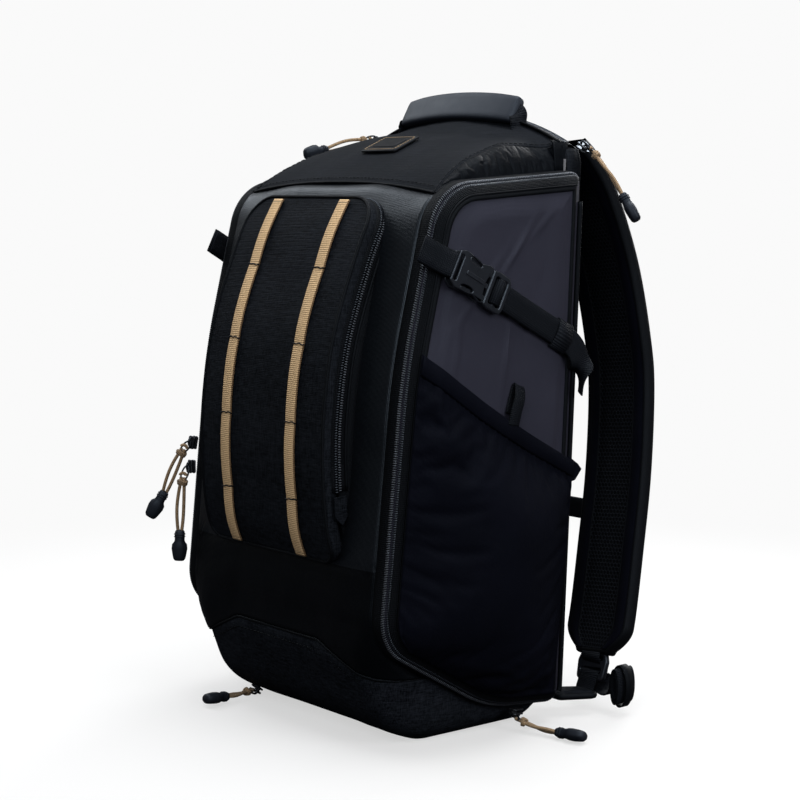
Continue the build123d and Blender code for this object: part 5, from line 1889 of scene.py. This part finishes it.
def slider(name, centre, direction, outward):
    """Zip slider: two tapered plates round a core, with a bridge. Its broad end leads."""
    x = unit(direction)
    z = unit(np.array(outward) - (np.array(outward) @ x) * x)
    y = np.cross(z, x)
    turn = Matrix([[x[k], y[k], z[k]] for k in range(3)])
    plate = [tuple(p) for p in rounded([(-5.6, -2.6, 1.2), (-1, -3.1, 2), (4.4, -4.1, 1.6), (5.4, -2.0, 1), (5.0, 0, 1.2), (5.4, 2.0, 1),
                                        (4.4, 4.1, 1.6), (-1, 3.1, 2), (-5.6, 2.6, 1.2)], 4)]
    top = lift_mesh(outline_solid("top", [plate], 1.5, 0.5, MAT["metal"]), 0.9)
    low = lift_mesh(outline_solid("low", [plate], 1.3, 0.4, MAT["metal"]), -2.3)
    core = lift_mesh(outline_solid("core", [box_loop(-0.5, 4.6, -1.2, 1.2, 0.8)], 3.0, 0.3, MAT["metal"]), -1.6)
    bridge = [(-3.6, 0, 1.8), (-3.2, 0, 3.4), (-1.6, 0, 4.3), (1.2, 0, 4.4), (3.0, 0, 3.6), (3.6, 0, 1.8)]
    arch = tube("arch", curve_through(bridge, 24), 0.85, MAT["metal"], around=8, flat=1.3, up=(0, 1, 0))
    obj = join("x", [top, low, core, arch])
    obj.name = name + "_body"
    place(obj, centre, turn)
    return piece(obj, name, name, slot="slider_metal")


def pull(name, hook, path, wide=(0.3, 0.5, 0.2), open_by=1.3, knot_at=0.10):
    """Wire ring through the slider, a doubled cord in a lark's head on it, and a moulded end.

    hook is the slider's bridge. The last point of path is the far tip of the moulded end.
    """
    path = [np.array(p, float) for p in path]
    line = curve_through(path[:-1], 60)
    start, tip = path[-2], path[-1]
    run = unit(tip - start)
    side = np.array(wide, float)
    lead = unit(line[6] - line[0])
    ring_side = unit(np.cross(lead, side))
    centre = (np.array(hook) + line[3]) / 2
    reach = np.linalg.norm(np.array(hook) - line[3]) / 2 + 1.1
    axis = unit(line[3] - np.array(hook))
    flat = unit(side - (side @ axis) * axis)
    ring = [centre + axis * reach * math.cos(a) + flat * 2.7 * math.sin(a) for a in np.linspace(0, 2 * math.pi, 36, endpoint=False)]
    wire = tube("ring", ring, 0.75, MAT["metal"], closed=True, around=8)
    parts = []
    t = np.linspace(0, 1, len(line))
    _, n, b = frames_along(line, up=side)
    spread = 1.45 + open_by * np.sin(math.pi * np.clip((t - knot_at) / (1 - knot_at), 0, 1)) ** 0.8
    sag = 0.5 * np.sin(math.pi * t * 2)
    for s in (1, -1):
        strand = line + n * (s * spread)[:, None] + b * (s * sag)[:, None]
        parts.append(tube("strand", strand, 1.4, MAT["cord"], around=10))
    k = 5
    turns = []
    for off, r in ((0, 2.9), (2, 2.7)):
        c = line[k + off]
        loop = [c + n[k] * r * 1.18 * math.cos(a) + b[k] * r * 0.82 * math.sin(a) + lead * 0.8 * math.sin(2 * a)
                for a in np.linspace(0, 2 * math.pi, 28, endpoint=False)]
        turns.append(tube("turn", loop, 1.3, MAT["cord"], closed=True, around=8))
    bight = [line[1] + n[1] * 2.4 * math.cos(a) + lead * (-2.2 + 1.9 * math.sin(a)) for a in np.linspace(math.pi, 2 * math.pi, 16)]
    parts.append(tube("bight", bight, 1.35, MAT["cord"], around=10))
    ropes = join("ropes", parts + turns)
    n1 = unit(side - (side @ run) * run)
    b1 = np.cross(run, n1)
    length = np.linalg.norm(tip - start)
    rows = []
    for s, w, h in ((-0.02, 1.6, 1.4), (0.0, 3.3, 3.0), (0.05, 3.9, 3.5), (0.32, 4.0, 3.6), (0.38, 4.5, 3.9), (0.46, 6.1, 4.4), (0.60, 6.5, 4.6),
                    (0.82, 5.6, 4.3), (0.94, 4.9, 3.9), (1.0, 3.7, 2.9), (1.005, 0.2, 0.2)):
        c = start + run * length * s
        row = []
        for j in range(32):
            a = 2 * math.pi * (j + 0.5) / 32
            corner = 0.90 + 0.10 * abs(math.cos(2 * a)) if s > 0.35 else 1.0
            p = math.copysign(abs(math.cos(a)) ** 0.7, math.cos(a))
            q = math.copysign(abs(math.sin(a)) ** 0.7, math.sin(a))
            row.append(c + n1 * w * p * corner + b1 * h * q * corner)
        rows.append(row)
    end = sheet("end", rows, MAT["tip"], close_cols=True)
    groove = []
    for g in (0.12, 0.20):
        c = start + run * length * g
        loop = [c + n1 * 4.15 * math.copysign(abs(math.cos(a)) ** 0.7, math.cos(a)) + b1 * 3.75 * math.copysign(abs(math.sin(a)) ** 0.7, math.sin(a))
                for a in np.linspace(0, 2 * math.pi, 32, endpoint=False)]
        groove.append(tube("groove", loop, 0.5, MAT["tip"], closed=True, around=6))
    end = join("end", [end, *groove])
    fix_normals(end)
    piece(wire, name, slot="slider_metal").name = name + "_ring"
    ropes.name = name + "_cord"
    piece(ropes, name, name, slot="pull_cord")
    end.name = name + "_end"
    piece(end, name, slot="buckle_plastic")


def fix_normals(obj):
    bm = bmesh.new()
    bm.from_mesh(obj.data)
    bmesh.ops.recalc_face_normals(bm, faces=bm.faces)
    bm.to_mesh(obj.data)
    bm.free()


def front_edge(z, out):
    (y0, z0), (y1, z1) = (-84.0, 285.0), (-105.0, 86.0)
    t = (z - z0) / (z1 - z0)
    return y0 + (y1 - y0) * t - out, z


def pulls():
    for name, y, radius, angle in (("lid_right", 100.0, 262.6, 28.0), ("lid_left", 87.0, 265.0, -25.3)):
        a = math.radians(angle)
        radial = np.array([math.sin(a), 0, math.cos(a)])
        centre = np.array([radius * radial[0], y, ARC_Z + radius * radial[2]])
        slider(name + "_slider", centre, (math.cos(a) * np.sign(angle), 0, -math.sin(a) * np.sign(angle)), radial)
        hook = centre + radial * 4.2
        if angle > 0:
            pull("lid_right_pull", hook, [(131, 103, 446), (144, 109, 428), (154, 112, 413), (166, 116, 393)], (0.55, -0.8, 0.3))
        else:
            pull("lid_left_pull", hook, [(-118, 81, 458), (-125, 63, 455), (-130, 47, 450), (-135, 26, 446)], (0.2, 0.1, 1.0))
    for name, z, sign in (("left_door_upper", 210.0, 1), ("left_door_lower", 190.0, -1)):
        y, z = front_edge(z, 4.6)
        slider(name + "_slider", (-126.8, y, z), (0, 0.105 * sign, 0.9945 * sign), (0, -0.9945, 0.105))
        hook = (-126.8, y - 4.2, z)
        if sign > 0:
            pull("left_door_upper_pull", hook, [(-129, -105, 205), (-136, -110, 188), (-142, -115, 169), (-150, -125, 148)], (0.6, 0.7, 0.2))
        else:
            pull("left_door_lower_pull", hook, [(-127, -107, 182), (-128, -109, 160), (-128, -110, 138), (-128, -111, 113)], (0.7, 0.7, 0.0))
    slider("right_door_slider", (126.5, 30, 15.4), (0, -0.9945, 0.1045), (0, -0.1045, -0.9945))
    pull("right_door_pull", (126.8, 30, 11.4), [(131, 30, 9), (146, 36, 5), (161, 40, 4.5), (186, 45, 6)], (0.2, -0.9, 0.5), open_by=0.9)
    slider("base_slider", (-85, -65.4, 5.8), (1, 0, 0), (0, -0.656, -0.755))
    pull("base_pull", (-85, -67.8, 4.6), [(-86, -72, 5), (-85, -84, 4.5), (-84, -95, 5), (-82, -118, 7)], (0.9, 0.0, 0.1), open_by=0.9)


PIECES = (front_panel, boot, door_zip, door, door_hinges, stretch_pocket, loop_tab, compression_strap, pocket, lid, handle, back_panel, inside,
          shoulder, sternum, pulls)


# ------------------------------------------------------------------ stage and camera
def area_light(name, energy, size, place_at, aim, colour=(1, 1, 1)):
    data = bpy.data.lights.new(name, "AREA")
    data.energy, data.size, data.color = energy, size, colour
    obj = bpy.data.objects.new(name, data)
    obj.location = place_at
    obj.rotation_euler = (Vector(aim) - Vector(place_at)).to_track_quat("-Z", "Y").to_euler()
    bpy.context.scene.collection.objects.link(obj)


def camera_only(m, seen, other):
    """Mixes two shaders: one for rays from the camera, one for all the rest."""
    path = m.node("ShaderNodeLightPath")
    mixer = m.node("ShaderNodeMixShader")
    m.link(path.outputs["Is Camera Ray"], mixer.inputs[0])
    m.link(other, mixer.inputs[1])
    m.link(seen, mixer.inputs[2])
    return mixer.outputs[0]


def floor_material():
    """Pale studio floor that fades into the backdrop and still takes the soft shadow under the bag."""
    m = Maker("studio_floor")
    m.finish((0.35, 0.35, 0.35), 0.9, specular=0.0)
    bounce = m.node("ShaderNodeBsdfDiffuse")
    bounce.inputs[0].default_value = (*BOUNCE, 1)
    glow = m.node("ShaderNodeEmission")
    glow.inputs[1].default_value = FLOOR_GLOW
    both = m.node("ShaderNodeAddShader")
    m.link(m.bsdf.outputs[0], both.inputs[0])
    m.link(glow.outputs[0], both.inputs[1])
    far = m.node("ShaderNodeEmission")
    far.inputs[1].default_value = BACKDROP
    share = m.node("ShaderNodeMapRange", interpolation_type="SMOOTHSTEP")
    m.link(m.vmath("LENGTH", m.coords.outputs["Object"]), share.inputs[0])
    share.inputs[1].default_value, share.inputs[2].default_value = FADE
    fade = m.node("ShaderNodeMixShader")
    m.link(share.outputs[0], fade.inputs[0])
    m.link(both.outputs[0], fade.inputs[1])
    m.link(far.outputs[0], fade.inputs[2])
    m.link(camera_only(m, fade.outputs[0], bounce.outputs[0]), m.tree.nodes["Material Output"].inputs[0])
    return m.mat


BOUNCE = (0.04, 0.04, 0.045)  # how much light the floor throws back at the bag
FLOOR_GLOW = 0.575
FADE = (0.35, 0.95)  # distances in metres over which the floor fades into the backdrop
BACKDROP = 0.955  # what the camera sees past the floor
AMBIENT = 0.15  # what lights the bag from all round


def world():
    data = bpy.data.worlds.new("studio")
    bpy.context.scene.world = data
    data.use_nodes = True
    tree = data.node_tree
    back = tree.nodes["Background"]
    back.inputs[1].default_value = 1.0
    path = tree.nodes.new("ShaderNodeLightPath")
    level = tree.nodes.new("ShaderNodeMapRange")
    tree.links.new(path.outputs["Is Camera Ray"], level.inputs[0])
    level.inputs[3].default_value, level.inputs[4].default_value = AMBIENT, BACKDROP
    tree.links.new(level.outputs[0], back.inputs[1])
    back.inputs[0].default_value = (1, 1, 1, 1)


def stage():
    """Pale floor and backdrop, soft studio light and the camera."""
    mesh = bpy.data.meshes.new("studio_floor")
    r = 12.0
    mesh.from_pydata([(-r, -r, -0.0004), (r, -r, -0.0004), (r, r, -0.0004), (-r, r, -0.0004)], [], [(0, 1, 2, 3)])
    mesh.materials.append(floor_material())
    floor = bpy.data.objects.new("studio_floor", mesh)
    bpy.context.scene.collection.objects.link(floor)
    world()
    aim = (0.0, 0.0, 0.24)
    area_light("top_light", 34, 1.5, (0.25, 0.15, 2.1), aim)
    area_light("right_light", 19, 1.3, (2.1, 0.35, 1.15), aim, (0.98, 0.98, 1.0))
    area_light("front_light", 19, 1.0, (1.5, -1.8, 1.5), aim, (0.94, 0.97, 1.0))
    area_light("rear_light", 46, 1.4, (-0.7, 2.2, 1.4), aim)
    area_light("left_light", 15, 1.2, (-1.6, -0.3, 1.75), aim, (0.94, 0.97, 1.0))
    scene = bpy.context.scene
    scene.view_settings.view_transform = "Standard"
    data = bpy.data.cameras.new("photo_camera")
    data.lens, data.sensor_width = 84.6, 36.0
    cam = bpy.data.objects.new("photo_camera", data)
    cam.location = (1.155, -0.951, 0.420)
    cam.rotation_euler = Vector((-0.761, 0.639, -0.1136)).to_track_quat("-Z", "Y").to_euler()
    scene.collection.objects.link(cam)
    scene.camera = cam


for make in PIECES:
    make()
stage()
